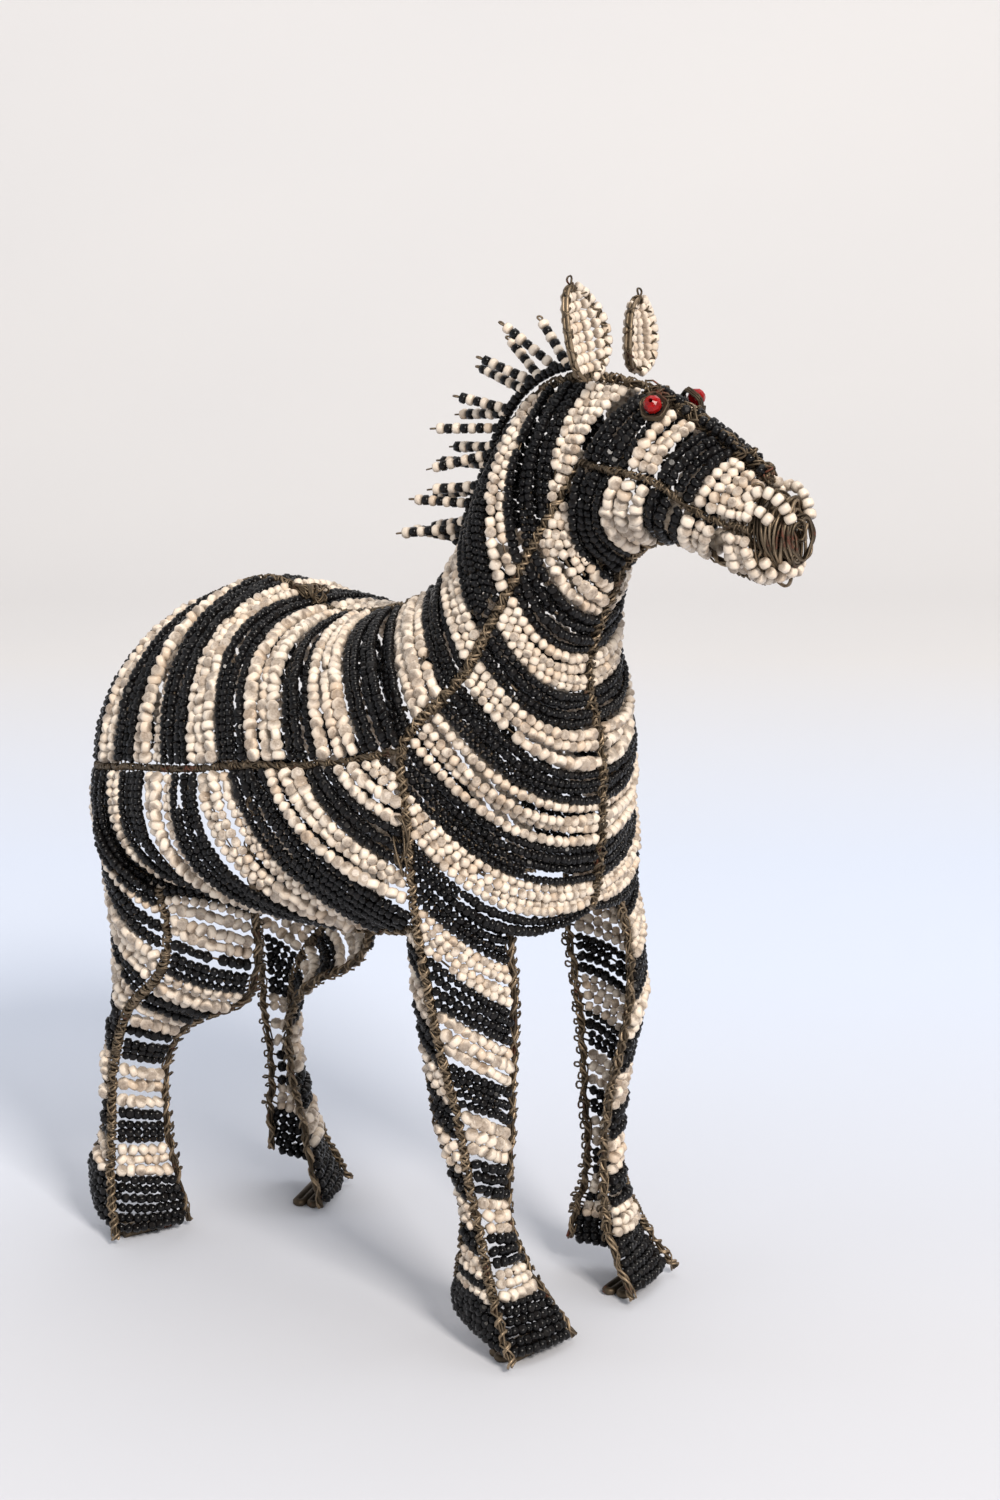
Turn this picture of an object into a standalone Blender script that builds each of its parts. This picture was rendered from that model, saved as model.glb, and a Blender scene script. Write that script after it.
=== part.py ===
"""Zebra figurine of wire and glass beads: frame wires with one-bead-thick panels between them.

The head points along +X, the animal's left side is +Y and its feet stand on z = 0.
"""
import bpy
import numpy as np

# Driving sizes, in metres
FIGURE_HEIGHT = 0.250
WIRE_DIAMETER = 0.0020
PANEL_THICKNESS = 0.0026
CLEARANCE = 0.0003
QUILL_DIAMETER = 0.0026
CREST_ROW_DIAMETER = 0.0028
EYE_BEAD_DIAMETER = 0.0042
EYE_HOLE_DIAMETER = 0.0010
EYE_RING_DIAMETER = 0.0064
EYE_RING_WIRE = 0.0010
EAR_THICKNESS = 0.0024
EAR_RIM_WIRE = 0.0012
MUZZLE_WIRE = 0.0014
TOE_WIRE_DIAMETER = 0.0020
TOE_WIRES = 4
TAIL_DIAMETER = 0.0034
TASSEL_DIAMETER = 0.0075

# Pose and proportions are written in 250ths of the height
UNIT = FIGURE_HEIGHT / 250.0
SHIFT_X = 53.20
WIRE_SIDES = 5
HIND_STEP = 23.0
KNEE_PUSH = 6.0
HOOF_BULGE = 2.4
QUILLS = 17
QUILL_REACH = 14.5
QUILL_FALL = -0.62
EAR_TIPS = {1: (1.0, -12.0, 247.0), -1: (3.5, -10.5, 243.0)}

# Points of the frame wires on the right side and on the middle plane
TOPLINE = [(-149, 0, 136), (-144, 0, 150), (-131, 0, 161), (-112, 0, 170), (-96, 0, 173),
           (-84, 0, 168), (-64, 0, 169), (-50, 0, 175), (-41, 0, 184), (-35, 0, 196),
           (-30, 0, 207), (-24, 0, 219), (-16, 0, 226), (-5, 0, 229), (8, 0, 228),
           (25, 0, 221), (37, 0, 214), (44, 0, 209)]
THROAT = [(43, 0, 187), (35, 0, 189), (24, 0, 193), (14, 0, 193), (8, 0, 189), (2, 0, 179),
          (-3, 0, 167), (-4, 0, 157), (-1, 0, 147), (0, 0, 131), (-1, 0, 114), (-3, 0, 105)]
FLANK = [(-27, -41, 147), (-49, -43, 141), (-70, -44, 138), (-90, -42, 134), (-114, -36, 130),
         (-133, -28, 126), (-146, -15, 123), (-151, -2, 122)]
RIDGE = [(-1, -10, 211), (-4, -12, 203), (-8, -14, 195), (-11, -17, 187), (-16, -22, 174),
         (-20, -27, 163), (-25, -33, 155), (-29, -38, 147), (-26, -41, 136), (-24, -42, 122),
         (-23, -41, 107), (-21, -39, 89), (-20, -35, 72), (-18, -32, 57), (-16, -30, 40),
         (-14, -29, 29), (-9, -31, 16), (-1, -35, 3.5)]
CHEEK = [(1, -11, 211), (13, -14, 210), (23, -13.5, 208), (30, -11, 203), (38, -9, 200),
         (43, -8, 199)]
BELLY = [(-24, -40, 105), (-44, -33, 100), (-60, -29, 98), (-74, -26, 99), (-86, -25, 102)]
FORE_FRONT = [(-11, -22, 104), (-10, -21, 86), (-12, -19, 63), (-12.5, -19, 48), (-12.5, -19, 29),
              (-8, -16, 16), (1, -13, 3.5)]
FORE_REAR = [(-31, -31, 102), (-30, -31, 84), (-27, -31, 67), (-25, -30, 53), (-22, -27, 40),
             (-21, -26, 27), (-23, -25, 17), (-25, -24, 8)]
HIND_RIDGE = [(-104, -39, 100), (-103, -38, 91), (-106, -37, 80), (-113, -35, 73), (-121, -33, 66),
              (-127, -31, 57), (-131, -30, 43), (-132, -30, 29), (-131, -32, 14.5), (-128, -34, 3.5)]
HIND_FRONT = [(-86, -25, 99), (-86, -24, 85), (-91, -22, 72), (-105, -21, 64), (-117, -20, 56),
              (-122, -19, 47), (-124, -18, 33), (-123, -17, 21), (-122, -15, 10.5), (-121, -14, 3.5)]
HIND_REAR = [(-132, -27, 120), (-132, -27, 103), (-131, -26, 86), (-131, -26, 71), (-134, -26, 57),
             (-137, -26, 43), (-138, -25, 31), (-142, -25, 21), (-144, -24, 9.5)]

MATERIALS = {
    "ivory_beads": ((0.80, 0.72, 0.62), 0.45, 0.0),
    "black_beads": ((0.012, 0.012, 0.014), 0.22, 0.0),
    "aged_wire": ((0.20, 0.16, 0.11), 0.50, 0.85),
    "red_glass": ((0.55, 0.02, 0.015), 0.10, 0.0),
}


def clear_scene():
    for item in list(bpy.data.objects):
        bpy.data.objects.remove(item, do_unlink=True)


def material(slot):
    found = bpy.data.materials.get(slot)
    if found:
        return found
    color, roughness, metallic = MATERIALS[slot]
    made = bpy.data.materials.new(slot)
    made.use_nodes = True
    shader = made.node_tree.nodes["Principled BSDF"]
    shader.inputs["Base Color"].default_value = (*color, 1.0)
    shader.inputs["Roughness"].default_value = roughness
    shader.inputs["Metallic"].default_value = metallic
    return made


def add(name, verts, faces, slot):
    mesh = bpy.data.meshes.new(name)
    mesh.from_pydata([tuple(map(float, v)) for v in verts], [], [tuple(map(int, f)) for f in faces])
    mesh.update()
    mesh.materials.append(material(slot))
    made = bpy.data.objects.new(name, mesh)
    bpy.context.scene.collection.objects.link(made)
    return made


def spline(points, count=400):
    """Natural cubic through the points, with chord lengths as its parameter, sampled at even lengths."""
    p = np.asarray(points, float)
    t = np.concatenate([[0.0], np.cumsum(np.linalg.norm(np.diff(p, axis=0), axis=1))])
    h = np.diff(t)
    size = len(p)
    left = np.eye(size)
    right = np.zeros((size, p.shape[1]))
    for i in range(1, size - 1):
        left[i, i - 1] = h[i - 1]
        left[i, i] = 2 * (h[i - 1] + h[i])
        left[i, i + 1] = h[i]
        right[i] = 6 * ((p[i + 1] - p[i]) / h[i] - (p[i] - p[i - 1]) / h[i - 1])
    bend = np.linalg.solve(left, right)
    s = np.linspace(0, t[-1], 6 * count)
    k = np.clip(np.searchsorted(t, s, side="right") - 1, 0, size - 2)
    a = ((t[k + 1] - s) / h[k])[:, None]
    b = 1 - a
    step = (h[k] ** 2 / 6)[:, None]
    fine = a * p[k] + b * p[k + 1] + ((a**3 - a) * bend[k] + (b**3 - b) * bend[k + 1]) * step
    return even(fine, count)


def lengths(line):
    return np.concatenate([[0.0], np.cumsum(np.linalg.norm(np.diff(line, axis=0), axis=1))])


def at(line, s):
    """Points of a polyline at the lengths s."""
    t = lengths(line)
    return np.stack([np.interp(s, t, line[:, i]) for i in range(line.shape[1])], axis=-1)


def even(line, count):
    return at(line, np.linspace(0, lengths(line)[-1], count))


def trimmed(line, start, end):
    total = lengths(line)[-1]
    return at(line, np.linspace(start, total - end, len(line)))


def nearest(line, point):
    """Length along the line at its nearest sample to the point."""
    return lengths(line)[np.argmin(np.linalg.norm(line - np.asarray(point, float), axis=1))]


def between(line, ends, count):
    """The stretch of a line between its nearest samples to two points."""
    return at(line, np.linspace(nearest(line, ends[0]), nearest(line, ends[1]), count))


def placed(points):
    """Metres in the shared frame, from 250ths of the height."""
    p = np.asarray(points, float) * UNIT
    p[..., 0] += SHIFT_X * UNIT
    return p


def stepped(points, step):
    """Slides a leg's lower part forward, by nothing above the thigh and by the whole step at the ground."""
    p = np.array(points, float)
    low = np.clip(1 - p[:, 2] / 77.0, 0, 1)
    p[:, 0] += step * low
    return p


def knee_forward(points, share, side):
    """The left fore leg's knee is pushed forward: its wires move along x by shares of the push."""
    p = np.array(points, float)
    if side < 0:
        p[:, 0] += share * KNEE_PUSH * np.interp(p[:, 2], (5, 20, 48, 72, 88, 105), (0, 0.1, 0.35, 1, 0.62, 0))
    return p


def to_side(line, side):
    """The right side's points as they are (side 1), or turned over to the left side (side -1)."""
    out = np.array(line, float)
    out[..., 1] *= side
    return out


def unit(v):
    return v / np.maximum(np.linalg.norm(v, axis=-1, keepdims=True), 1e-12)


def tube(line, radius, sides, segments=None, steady=(0.0, 0.0, 1.0)):
    """Vertices and faces of a round bar along the line. radius is one number, or one per ring."""
    ring_at = even(line, segments + 1) if segments else np.asarray(line, float)
    tangent = unit(np.gradient(ring_at, axis=0))
    across = np.cross(tangent[0], np.asarray(steady, float))
    if np.linalg.norm(across) < 0.2:
        across = np.cross(tangent[0], (0.0, 1.0, 0.0))
    frames = []
    for t in tangent:
        across = unit(across - t * (across @ t))
        frames.append((across, np.cross(t, across)))
    turn = 2 * np.pi * (np.arange(sides) + 0.5) / sides
    radii = np.broadcast_to(radius, len(ring_at))
    rings = [c + r * (np.cos(turn)[:, None] * u + np.sin(turn)[:, None] * w)
             for c, r, (u, w) in zip(ring_at, radii, frames)]
    verts = np.concatenate(rings)
    faces = []
    for i in range(len(rings) - 1):
        for j in range(sides):
            k = (j + 1) % sides
            faces.append((i * sides + j, i * sides + k, (i + 1) * sides + k, (i + 1) * sides + j))
    faces.append(tuple(range(sides))[::-1])
    faces.append(tuple((len(rings) - 1) * sides + j for j in range(sides)))
    return verts, faces


def wire(name, line, segments, diameter=WIRE_DIAMETER, slot="aged_wire"):
    verts, faces = tube(line, diameter / 2, WIRE_SIDES, segments)
    return add(name, verts, faces, slot)


def rows_between(first, second, first_marks, second_marks, count):
    """Matching points on two lines, where marks name points that a row joins."""
    a = [nearest(first, m) for m in first_marks]
    b = [nearest(second, m) for m in second_marks]
    s = np.linspace(0, len(a) - 1, count)
    i = np.arange(len(a))
    return at(first, np.interp(s, i, a)), at(second, np.interp(s, i, b))


def panel_points(start, end, bulge, across, margins):
    """Grid of the middle surface, from the start points to the end points, pushed out by the bulge."""
    u = np.linspace(0, 1, len(start))
    given = np.asarray(bulge, float) * UNIT
    knots = np.linspace(0, 1, len(given))
    push = np.stack([np.interp(u, knots, given[:, i]) for i in range(3)], axis=-1)
    span = np.linalg.norm(end - start, axis=1)
    low = margins[0] / span / slant(start, end - start)
    high = 1 - margins[1] / span / slant(end, end - start)
    v = low[:, None] + (high - low)[:, None] * np.linspace(0, 1, across)[None, :]
    chord = start[:, None, :] * (1 - v[..., None]) + end[:, None, :] * v[..., None]
    return chord + push[:, None, :] * (4 * v * (1 - v))[..., None]


def slant(line, rows):
    """Sine of the angle between a wire and its rows, so that a margin is kept square to the wire."""
    along = unit(np.gradient(line, axis=0))
    return np.clip(np.linalg.norm(np.cross(along, unit(rows)), axis=1), 0.35, 1.0)


def normals(grid, outward):
    du = np.gradient(grid, axis=0)
    dv = np.gradient(grid, axis=1)
    n = unit(np.cross(du, dv))
    flip = np.sign(np.sum(n * np.asarray(outward, float), axis=-1).sum())
    return n * flip, flip


def shell(name, grid, outward, thickness, slot):
    """Closed plate of even thickness about the middle surface."""
    n, flip = normals(grid, outward)
    rows, cols = grid.shape[:2]
    outer = (grid + n * thickness / 2).reshape(-1, 3)
    inner = (grid - n * thickness / 2).reshape(-1, 3)
    verts = np.concatenate([outer, inner])
    base = rows * cols
    faces = []
    for i in range(rows - 1):
        for j in range(cols - 1):
            a, b = i * cols + j, (i + 1) * cols + j
            c, d = b + 1, a + 1
            faces += [(a, b, c), (a, c, d)]
            faces += [(base + a, base + c, base + b), (base + a, base + d, base + c)]
    edge = [j for j in range(cols)]
    edge += [i * cols + cols - 1 for i in range(1, rows)]
    edge += [(rows - 1) * cols + j for j in range(cols - 2, -1, -1)]
    edge += [i * cols for i in range(rows - 2, 0, -1)]
    for k, a in enumerate(edge):
        b = edge[(k + 1) % len(edge)]
        faces += [(a, b, base + b), (a, base + b, base + a)]
    if flip < 0:
        faces = [f[::-1] for f in faces]
    return add(name, verts, faces, slot)


def panel(name, first, second, first_marks, second_marks, bulge, outward, size, margins, slot="ivory_beads"):
    start, end = rows_between(first, second, first_marks, second_marks, size[0])
    grid = panel_points(start, end, bulge, size[1], margins)
    return shell(name, grid, outward, PANEL_THICKNESS, slot)


def joined(name, pieces, slot):
    """One body from overlapping pieces."""
    whole = pieces[0]
    for piece in pieces[1:]:
        cut = whole.modifiers.new("union", "BOOLEAN")
        cut.operation = "UNION"
        cut.solver = "EXACT"
        cut.object = piece
        piece.hide_render = True
        piece.display_type = "WIRE"
        piece.name = "helper_" + piece.name
    whole.name = name
    return whole


EDGE = WIRE_DIAMETER / 2 + 2 * CLEARANCE
CORNER = max(WIRE_DIAMETER, PANEL_THICKNESS) / 2 + 2 * CLEARANCE


def frame_lines(side):
    """The frame wires' centre lines for one side, in metres."""
    hind = hind_step(side)
    given = {
        "flank": FLANK, "ridge": knee_forward(RIDGE, 1.0, side), "cheek": CHEEK, "belly": BELLY,
        "fore_front": knee_forward(FORE_FRONT, 1.2, side), "fore_rear": FORE_REAR,
        "hind_ridge": stepped(HIND_RIDGE, hind), "hind_front": stepped(HIND_FRONT, hind),
        "hind_rear": stepped(HIND_REAR, hind),
    }
    return {key: to_side(spline(placed(points)), side) for key, points in given.items()}


def hind_step(side):
    """Only the left hind foot stands forward."""
    return HIND_STEP if side < 0 else 0.0


def side_pieces(side, word):
    lines = frame_lines(side)
    top = spline(placed(TOPLINE))
    throat = spline(placed(THROAT))
    out = (0.0, -1.0 * side, 0.0)
    hind = hind_step(side)
    meet = WIRE_DIAMETER + CLEARANCE

    def m(points, step=0.0):
        return to_side(placed(stepped(points, step)), side)

    def b(vectors):
        return to_side(vectors, side)

    wire("flank_wire_" + word, trimmed(lines["flank"], meet, 0), 12)
    wire("ridge_wire_" + word, lines["ridge"], 22)
    wire("cheek_wire_" + word, trimmed(lines["cheek"], meet, 0), 8)
    wire("belly_wire_" + word, trimmed(lines["belly"], meet, meet), 8)
    wire("fore_front_wire_" + word, lines["fore_front"], 12)
    wire("fore_rear_wire_" + word, lines["fore_rear"], 12)
    wire("hind_ridge_wire_" + word, lines["hind_ridge"], 14)
    wire("hind_front_wire_" + word, lines["hind_front"], 14)
    wire("hind_rear_wire_" + word, lines["hind_rear"], 12)

    panel("neck_panel_" + word, top, lines["ridge"],
          m([(-1, 0, 229), (-14, 0, 227), (-24, 0, 219), (-33, 0, 201), (-41, 0, 184), (-56, 0, 172)]),
          m([(-1, -10, 211), (-8, -14, 195), (-16, -22, 174), (-21, -28, 162), (-26, -34, 154),
             (-29, -38, 147)]),
          b([(-1, -4, 1), (-3, -7, 1), (-3, -7, 2), (-2, -6, 3), (-1, -5, 3), (0, -5, 4)]),
          out, (12, 5), (CORNER, EDGE))
    panel("back_panel_" + word, top, lines["flank"],
          m([(-58, 0, 171), (-65, 0, 169), (-84, 0, 168), (-96, 0, 173), (-112, 0, 170), (-131, 0, 161),
             (-144, 0, 150), (-149, 0, 138)]),
          m([(-31, -39, 146), (-49, -43, 141), (-75, -44, 137), (-90, -42, 134), (-108, -38, 131),
             (-126, -31, 127), (-141, -20, 124), (-149, -8, 122)]),
          b([(0, -5, 4), (-1, -8, 6), (-2, -9, 9), (-3, -8, 8), (-3, -7, 5), (-2, -5, 3),
             (-1, -3, 1), (0, -1, 0)]),
          (-0.3, -1.0 * side, 0.8), (14, 6), (CORNER, EDGE))
    shoulder = between(lines["ridge"], m([(-27, -39, 143), (-23, -41, 108)]), 60)
    low = np.concatenate([shoulder, trimmed(lines["belly"], 2 * meet, 0)[::4]])
    panel("flank_panel_" + word, trimmed(lines["flank"], 2 * meet, 0), low,
          m([(-31, -42, 146), (-39, -43, 144), (-58, -44, 140), (-80, -43, 136), (-90, -42, 134),
             (-102, -39, 132), (-116, -35, 130), (-133, -28, 126)]),
          m([(-27, -40, 141), (-26, -41, 134), (-24, -42, 118), (-29, -38, 103), (-44, -33, 100),
             (-60, -29, 98), (-76, -26, 99), (-86, -25, 102)]),
          b([(0, 0, 0), (0, -2, 0), (-2, -5, -1), (-3, -8, -2), (-4, -11, -4), (-5, -12, -5),
             (-5, -13, -6), (-4, -12, -7)]),
          out, (14, 5), (EDGE, EDGE))
    panel("chest_panel_" + word, lines["ridge"], throat,
          m([(-2, -11, 208), (-6, -13, 199), (-12, -18, 184), (-18, -25, 168), (-24, -32, 156),
             (-26, -41, 138), (-24, -42, 122)]),
          m([(8, 0, 189), (2, 0, 179), (-4, 0, 158), (-1, 0, 144), (0, 0, 127), (-1, 0, 112),
             (-3, 0, 106)]),
          b([(1, -3, -2), (1, -4, -3), (2, -5, -4), (4, -6, -5), (5, -7, -6), (5, -7, -7), (5, -6, -9)]),
          (1.0, -0.6 * side, 0.0), (12, 5), (EDGE, CORNER))
    panel("face_panel_" + word, lines["cheek"], top,
          m([(3, -12, 211), (13, -14, 210), (23, -13.5, 208), (30, -11, 203), (38, -9, 200),
             (42, -8, 199)]),
          m([(0.5, 0, 229), (17, 0, 225), (27, 0, 220), (36, 0, 214), (40, 0, 212), (43, 0, 209)]),
          b([(0, -4, 1), (0, -2, 1.5), (0, -2.5, 1.5), (0, -3, 2), (0, -3, 2), (0, -2, 1)]),
          (0.0, -1.0 * side, 0.7), (8, 4), (EDGE, CORNER))
    panel("jaw_panel_" + word, lines["cheek"], throat,
          m([(3, -12, 211), (13, -14, 210), (23, -13.5, 208), (31, -11, 203), (39, -9, 200)]),
          m([(12, 0, 192), (17, 0, 194), (25, 0, 193), (34, 0, 189), (40, 0, 187)]),
          b([(0, -4, 0), (0, -5, -2), (0, -5, -2), (0, -4, -1), (0, -3, -1)]),
          (0.0, -1.0 * side, -0.4), (7, 4), (CORNER, CORNER))
    panel("fore_side_panel_" + word, lines["fore_rear"], lines["ridge"],
          m([(-31, -31, 100), (-30, -31, 84), (-26, -31, 62), (-23, -28, 43), (-22.5, -25, 19)]),
          m([(-23, -41, 103), (-21, -39, 85), (-19, -33, 62), (-17, -30, 43), (-10.5, -30.5, 19)]),
          b([(-1, -1, 0), (-1, -1, 0), (-1, -1, 0), (-0.5, -0.5, 0), (-0.5, -0.5, 0)]),
          out, (9, 4), (EDGE, CORNER))
    panel("fore_front_panel_" + word, lines["ridge"], lines["fore_front"],
          m([(-24, -42, 119), (-22, -40, 97), (-20, -36, 76), (-18, -32, 57), (-16, -30, 40),
             (-10.5, -30.5, 19)]),
          m([(-11, -22, 103), (-10, -21, 84), (-12, -19, 65), (-12.5, -19, 48), (-12.5, -19, 33),
             (-8, -16, 16)]),
          b([(3, -2, -3), (3, -2, -1), (3, -1, 0), (2, -1, 0), (2, -1, 0), (2, 0, 0)]),
          (1.0, -0.3 * side, 0.0), (11, 4), (CORNER, EDGE))
    panel("thigh_side_panel_" + word, lines["hind_rear"], lines["hind_ridge"],
          m([(-132, -27, 119), (-132, -27, 103), (-131, -26, 85), (-132, -26, 69), (-134, -26, 57),
             (-137, -26, 43), (-141, -25, 23.5)], hind),
          m([(-104, -39, 99), (-103, -38, 91), (-107, -37, 79), (-119, -34, 68), (-127, -31, 57),
             (-131, -30, 43), (-132, -31, 21)], hind),
          b([(-2, -9, 1), (-2, -7, -2), (-1, -5, -2), (0, -3, -1), (0, -2, 0), (0, -1, 0), (0, -1, 0)]),
          out, (11, 4), (EDGE, CORNER + CLEARANCE))
    panel("thigh_front_panel_" + word, lines["hind_ridge"], lines["hind_front"],
          m([(-104, -39, 98), (-103, -38, 91), (-107, -37, 79), (-117, -34, 70), (-127, -31, 57),
             (-131, -30, 43), (-132, -31, 21)], hind),
          m([(-86, -25, 96), (-86, -24, 84), (-91, -22, 72), (-107, -21, 63), (-119, -20, 53),
             (-123, -18, 39), (-123, -16.5, 18.5)], hind),
          b([(1, -4, 3), (1, -3, 0), (1, -2, -1), (2, -1, 0), (2, -1, 0), (2, -1, 0), (2, 0, 0)]),
          (0.6, -1.0 * side, 0.0), (11, 4), (CORNER, EDGE))
    hoof("fore_hoof_" + word, lines["fore_rear"], lines["ridge"], lines["fore_front"],
         m([(-23, -25, 15.5), (-25, -24, 8)]), m([(-8.5, -31, 15.5), (-1, -35, 3.5)]),
         m([(-5.5, -15, 12.5), (1, -13, 3.5)]), side)
    hoof("hind_hoof_" + word, lines["hind_rear"], lines["hind_ridge"], lines["hind_front"],
         m([(-142.3, -25, 19.5), (-144, -24, 9.5)], hind), m([(-131.5, -31.5, 17), (-128, -34, 3.5)], hind),
         m([(-122.6, -16, 14.5), (-121, -14, 3.5)], hind), side)
    toe("fore_toe_" + word, m([(-1, -35, 3.5), (1, -13, 3.5)]))
    toe("hind_toe_" + word, m([(-128, -34, 3.5), (-121, -14, 3.5)], hind))
    ear(word, side)
    eye(word, side)


def hoof(name, rear, ridge, front, rear_marks, ridge_marks, front_marks, side, count=4):
    """Angle-shaped bead shell that passes inside the ridge wire, from the rear wire to the front wire."""
    a, b = rows_between(rear, ridge, rear_marks, ridge_marks, count)
    _, c = rows_between(ridge, front, ridge_marks, front_marks, count)
    inward = unit(unit(a - b) + unit(c - b))
    corner = b + inward * (WIRE_DIAMETER / 2 + PANEL_THICKNESS + 2 * CLEARANCE)
    a = a + unit(corner - a) * CORNER
    c = c + unit(corner - c) * CORNER
    share = np.linspace(0, 1, 4)[None, :, None]
    left = a[:, None] * (1 - share) + corner[:, None] * share
    right = corner[:, None] * (1 - share) + c[:, None] * share
    bow = HOOF_BULGE * UNIT * (4 * share * (1 - share))
    left = left - bow * unit(inward)[:, None]
    right = right - 0.6 * bow * unit(inward)[:, None]
    grid = np.concatenate([left, right[:, 1:]], axis=1)
    return shell(name, grid, (0.5, -1.0 * side, 0.0), PANEL_THICKNESS, "black_beads")


def toe(name, ends):
    """Bundle of parallel wires under the toe, closed to one flat face where it stands."""
    radius = TOE_WIRE_DIAMETER / 2
    start = np.array([ends[0][0], ends[0][1], 0.0])
    end = np.array([ends[1][0], ends[1][1], 0.0])
    along = unit(end - start)
    back = np.cross(along, (0.0, 0.0, 1.0))
    if back[0] > 0:
        back = -back
    inset = 1.5 * TOE_WIRE_DIAMETER
    start, end = start + along * inset + back * inset, end - along * inset + back * inset
    outline = []
    for k in range(TOE_WIRES):
        for angle in np.linspace(0, np.pi, 5)[(0 if k == 0 else 1):]:
            across = radius * (2 * k + 1) - radius * np.cos(angle)
            outline.append((across, radius * (1 + np.sin(angle))))
    outline = [(0.0, 0.3 * radius), *outline, (2 * radius * TOE_WIRES, 0.3 * radius)]
    outline += [(2 * radius * TOE_WIRES - 0.4 * radius, 0.0), (0.4 * radius, 0.0)]
    count = len(outline)
    verts = [p + back * (x - radius) + np.array([0.0, 0.0, z]) for p in (start, end) for x, z in outline]
    faces = [(j, (j + 1) % count, count + (j + 1) % count, count + j) for j in range(count)]
    faces += [tuple(range(count))[::-1], tuple(range(count, 2 * count))]
    made = add(name, verts, faces, "aged_wire")
    if np.dot(np.cross(back, (0, 0, 1)), along) > 0:
        made.data.flip_normals()
    return made


def ear(word, side):
    """Dished leaf of beads inside a rim of wire."""
    base = placed(np.array([4.0, -9.4, 227.0]))
    tip = placed(np.array(EAR_TIPS[side]))
    rise = unit(tip - base)
    across = unit(np.array([0.06, 1.0, 0.10]))
    across = unit(across - rise * (across @ rise))
    face = np.cross(across, rise)
    face = face * np.sign(face[0])
    height = np.linalg.norm(tip - base)
    base = base + rise * (WIRE_DIAMETER + CLEARANCE + EAR_RIM_WIRE / 2)
    turn = np.linspace(0, 2 * np.pi, 19)[:-1]
    half = 6.9 * UNIT
    up = height * 0.5 * (1 - np.cos(turn))
    wide = half * np.sin(turn) * (0.86 + 0.20 * np.cos(turn - np.pi * 0.2))
    dish = 1.6 * UNIT * (1 - (wide / half) ** 2)
    loop = base + up[:, None] * rise + wide[:, None] * across - dish[:, None] * face
    loop = to_side(loop, side)
    centre = loop.mean(axis=0)
    ring(f"ear_rim_{word}", loop, EAR_RIM_WIRE / 2, 4, "aged_wire")
    shrink = EAR_RIM_WIRE / 2 + CLEARANCE
    reach = np.linalg.norm(loop - centre, axis=1)
    inner = centre + (loop - centre) * (1 - (shrink + 0.2 * EAR_THICKNESS) / reach)[:, None]
    middle = to_side(base + rise * height * 0.48 - face * 2.8 * UNIT, side)
    leaf(f"ear_beads_{word}", inner, middle, to_side(face, side))


def leaf(name, loop, middle, face):
    """Plate that fills a closed loop, dished to a middle point."""
    count = len(loop)
    half_way = loop * 0.5 + middle * 0.5
    half_way = half_way - face * 0.25 * np.linalg.norm((middle - loop.mean(axis=0)))
    layers = []
    for shift in (EAR_THICKNESS / 2, -EAR_THICKNESS / 2):
        layers += [loop + face * shift, half_way + face * shift, (middle + face * shift)[None]]
    verts = np.concatenate(layers)
    base = 2 * count + 1
    faces = []
    for j in range(count):
        k = (j + 1) % count
        faces += [(j, k, count + k, count + j), (count + j, count + k, 2 * count)]
        faces += [(base + k, base + j, base + count + j, base + count + k),
                  (base + count + k, base + count + j, base + 2 * count)]
        faces.append((k, j, base + j, base + k))
    made = add(name, verts, faces, "ivory_beads")
    area = sum(np.cross(loop[j] - middle, loop[(j + 1) % count] - middle) for j in range(count))
    if area @ face < 0:
        made.data.flip_normals()
    return made


def ring(name, loop, radius, sides, slot):
    """Closed wire loop."""
    count = len(loop)
    tangent = unit(np.roll(loop, -1, axis=0) - np.roll(loop, 1, axis=0))
    axis = unit(np.cross(loop - loop.mean(axis=0), tangent).sum(axis=0))
    outward = unit(np.cross(tangent, axis))
    turn = 2 * np.pi * np.arange(sides) / sides
    verts = (loop[:, None] + radius * (np.cos(turn)[None, :, None] * outward[:, None]
                                       + np.sin(turn)[None, :, None] * axis)).reshape(-1, 3)
    faces = []
    for i in range(count):
        n = (i + 1) % count
        for j in range(sides):
            k = (j + 1) % sides
            faces.append((i * sides + j, n * sides + j, n * sides + k, i * sides + k))
    made = add(name, verts, faces, slot)
    if signed_volume(made.data) < 0:
        made.data.flip_normals()
    return made


def signed_volume(mesh):
    mesh.calc_loop_triangles()
    points = np.array([v.co for v in mesh.vertices])
    tri = np.array([t.vertices for t in mesh.loop_triangles])
    return np.linalg.det(points[tri]).sum() / 6


def eye(word, side):
    """Round bead with a pierced hole, standing on its coiled ring."""
    centre = to_side(placed((18.5, -9.0, 224.8)), side)
    look = unit(to_side((0.25, -0.80, 0.50), side))
    radius = EYE_BEAD_DIAMETER / 2
    hole = EYE_HOLE_DIAMETER / 2
    angles = np.linspace(0, 2 * np.pi, 11)[:-1]
    u = unit(np.cross(look, (0.0, 0.0, 1.0)))
    w = np.cross(look, u)
    start = np.arcsin(hole / radius)
    arc = np.linspace(start, np.pi - start, 6)
    profile = [(radius * np.sin(a), radius * np.cos(a)) for a in arc]
    around(f"eye_bead_{word}", centre, look, u, w, profile + [(hole, -radius * 0.5), (hole, radius * 0.5)],
           angles, "red_glass")
    wire_radius = EYE_RING_WIRE / 2
    mean = (EYE_RING_DIAMETER - EYE_RING_WIRE) / 2
    turn = np.linspace(0, 2 * np.pi, 6)[:-1]
    section = [(mean + wire_radius * np.cos(t), wire_radius * np.sin(t)) for t in turn]
    around(f"eye_ring_{word}", centre - look * radius * 0.55, look, u, w, section, angles, "aged_wire")


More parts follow.
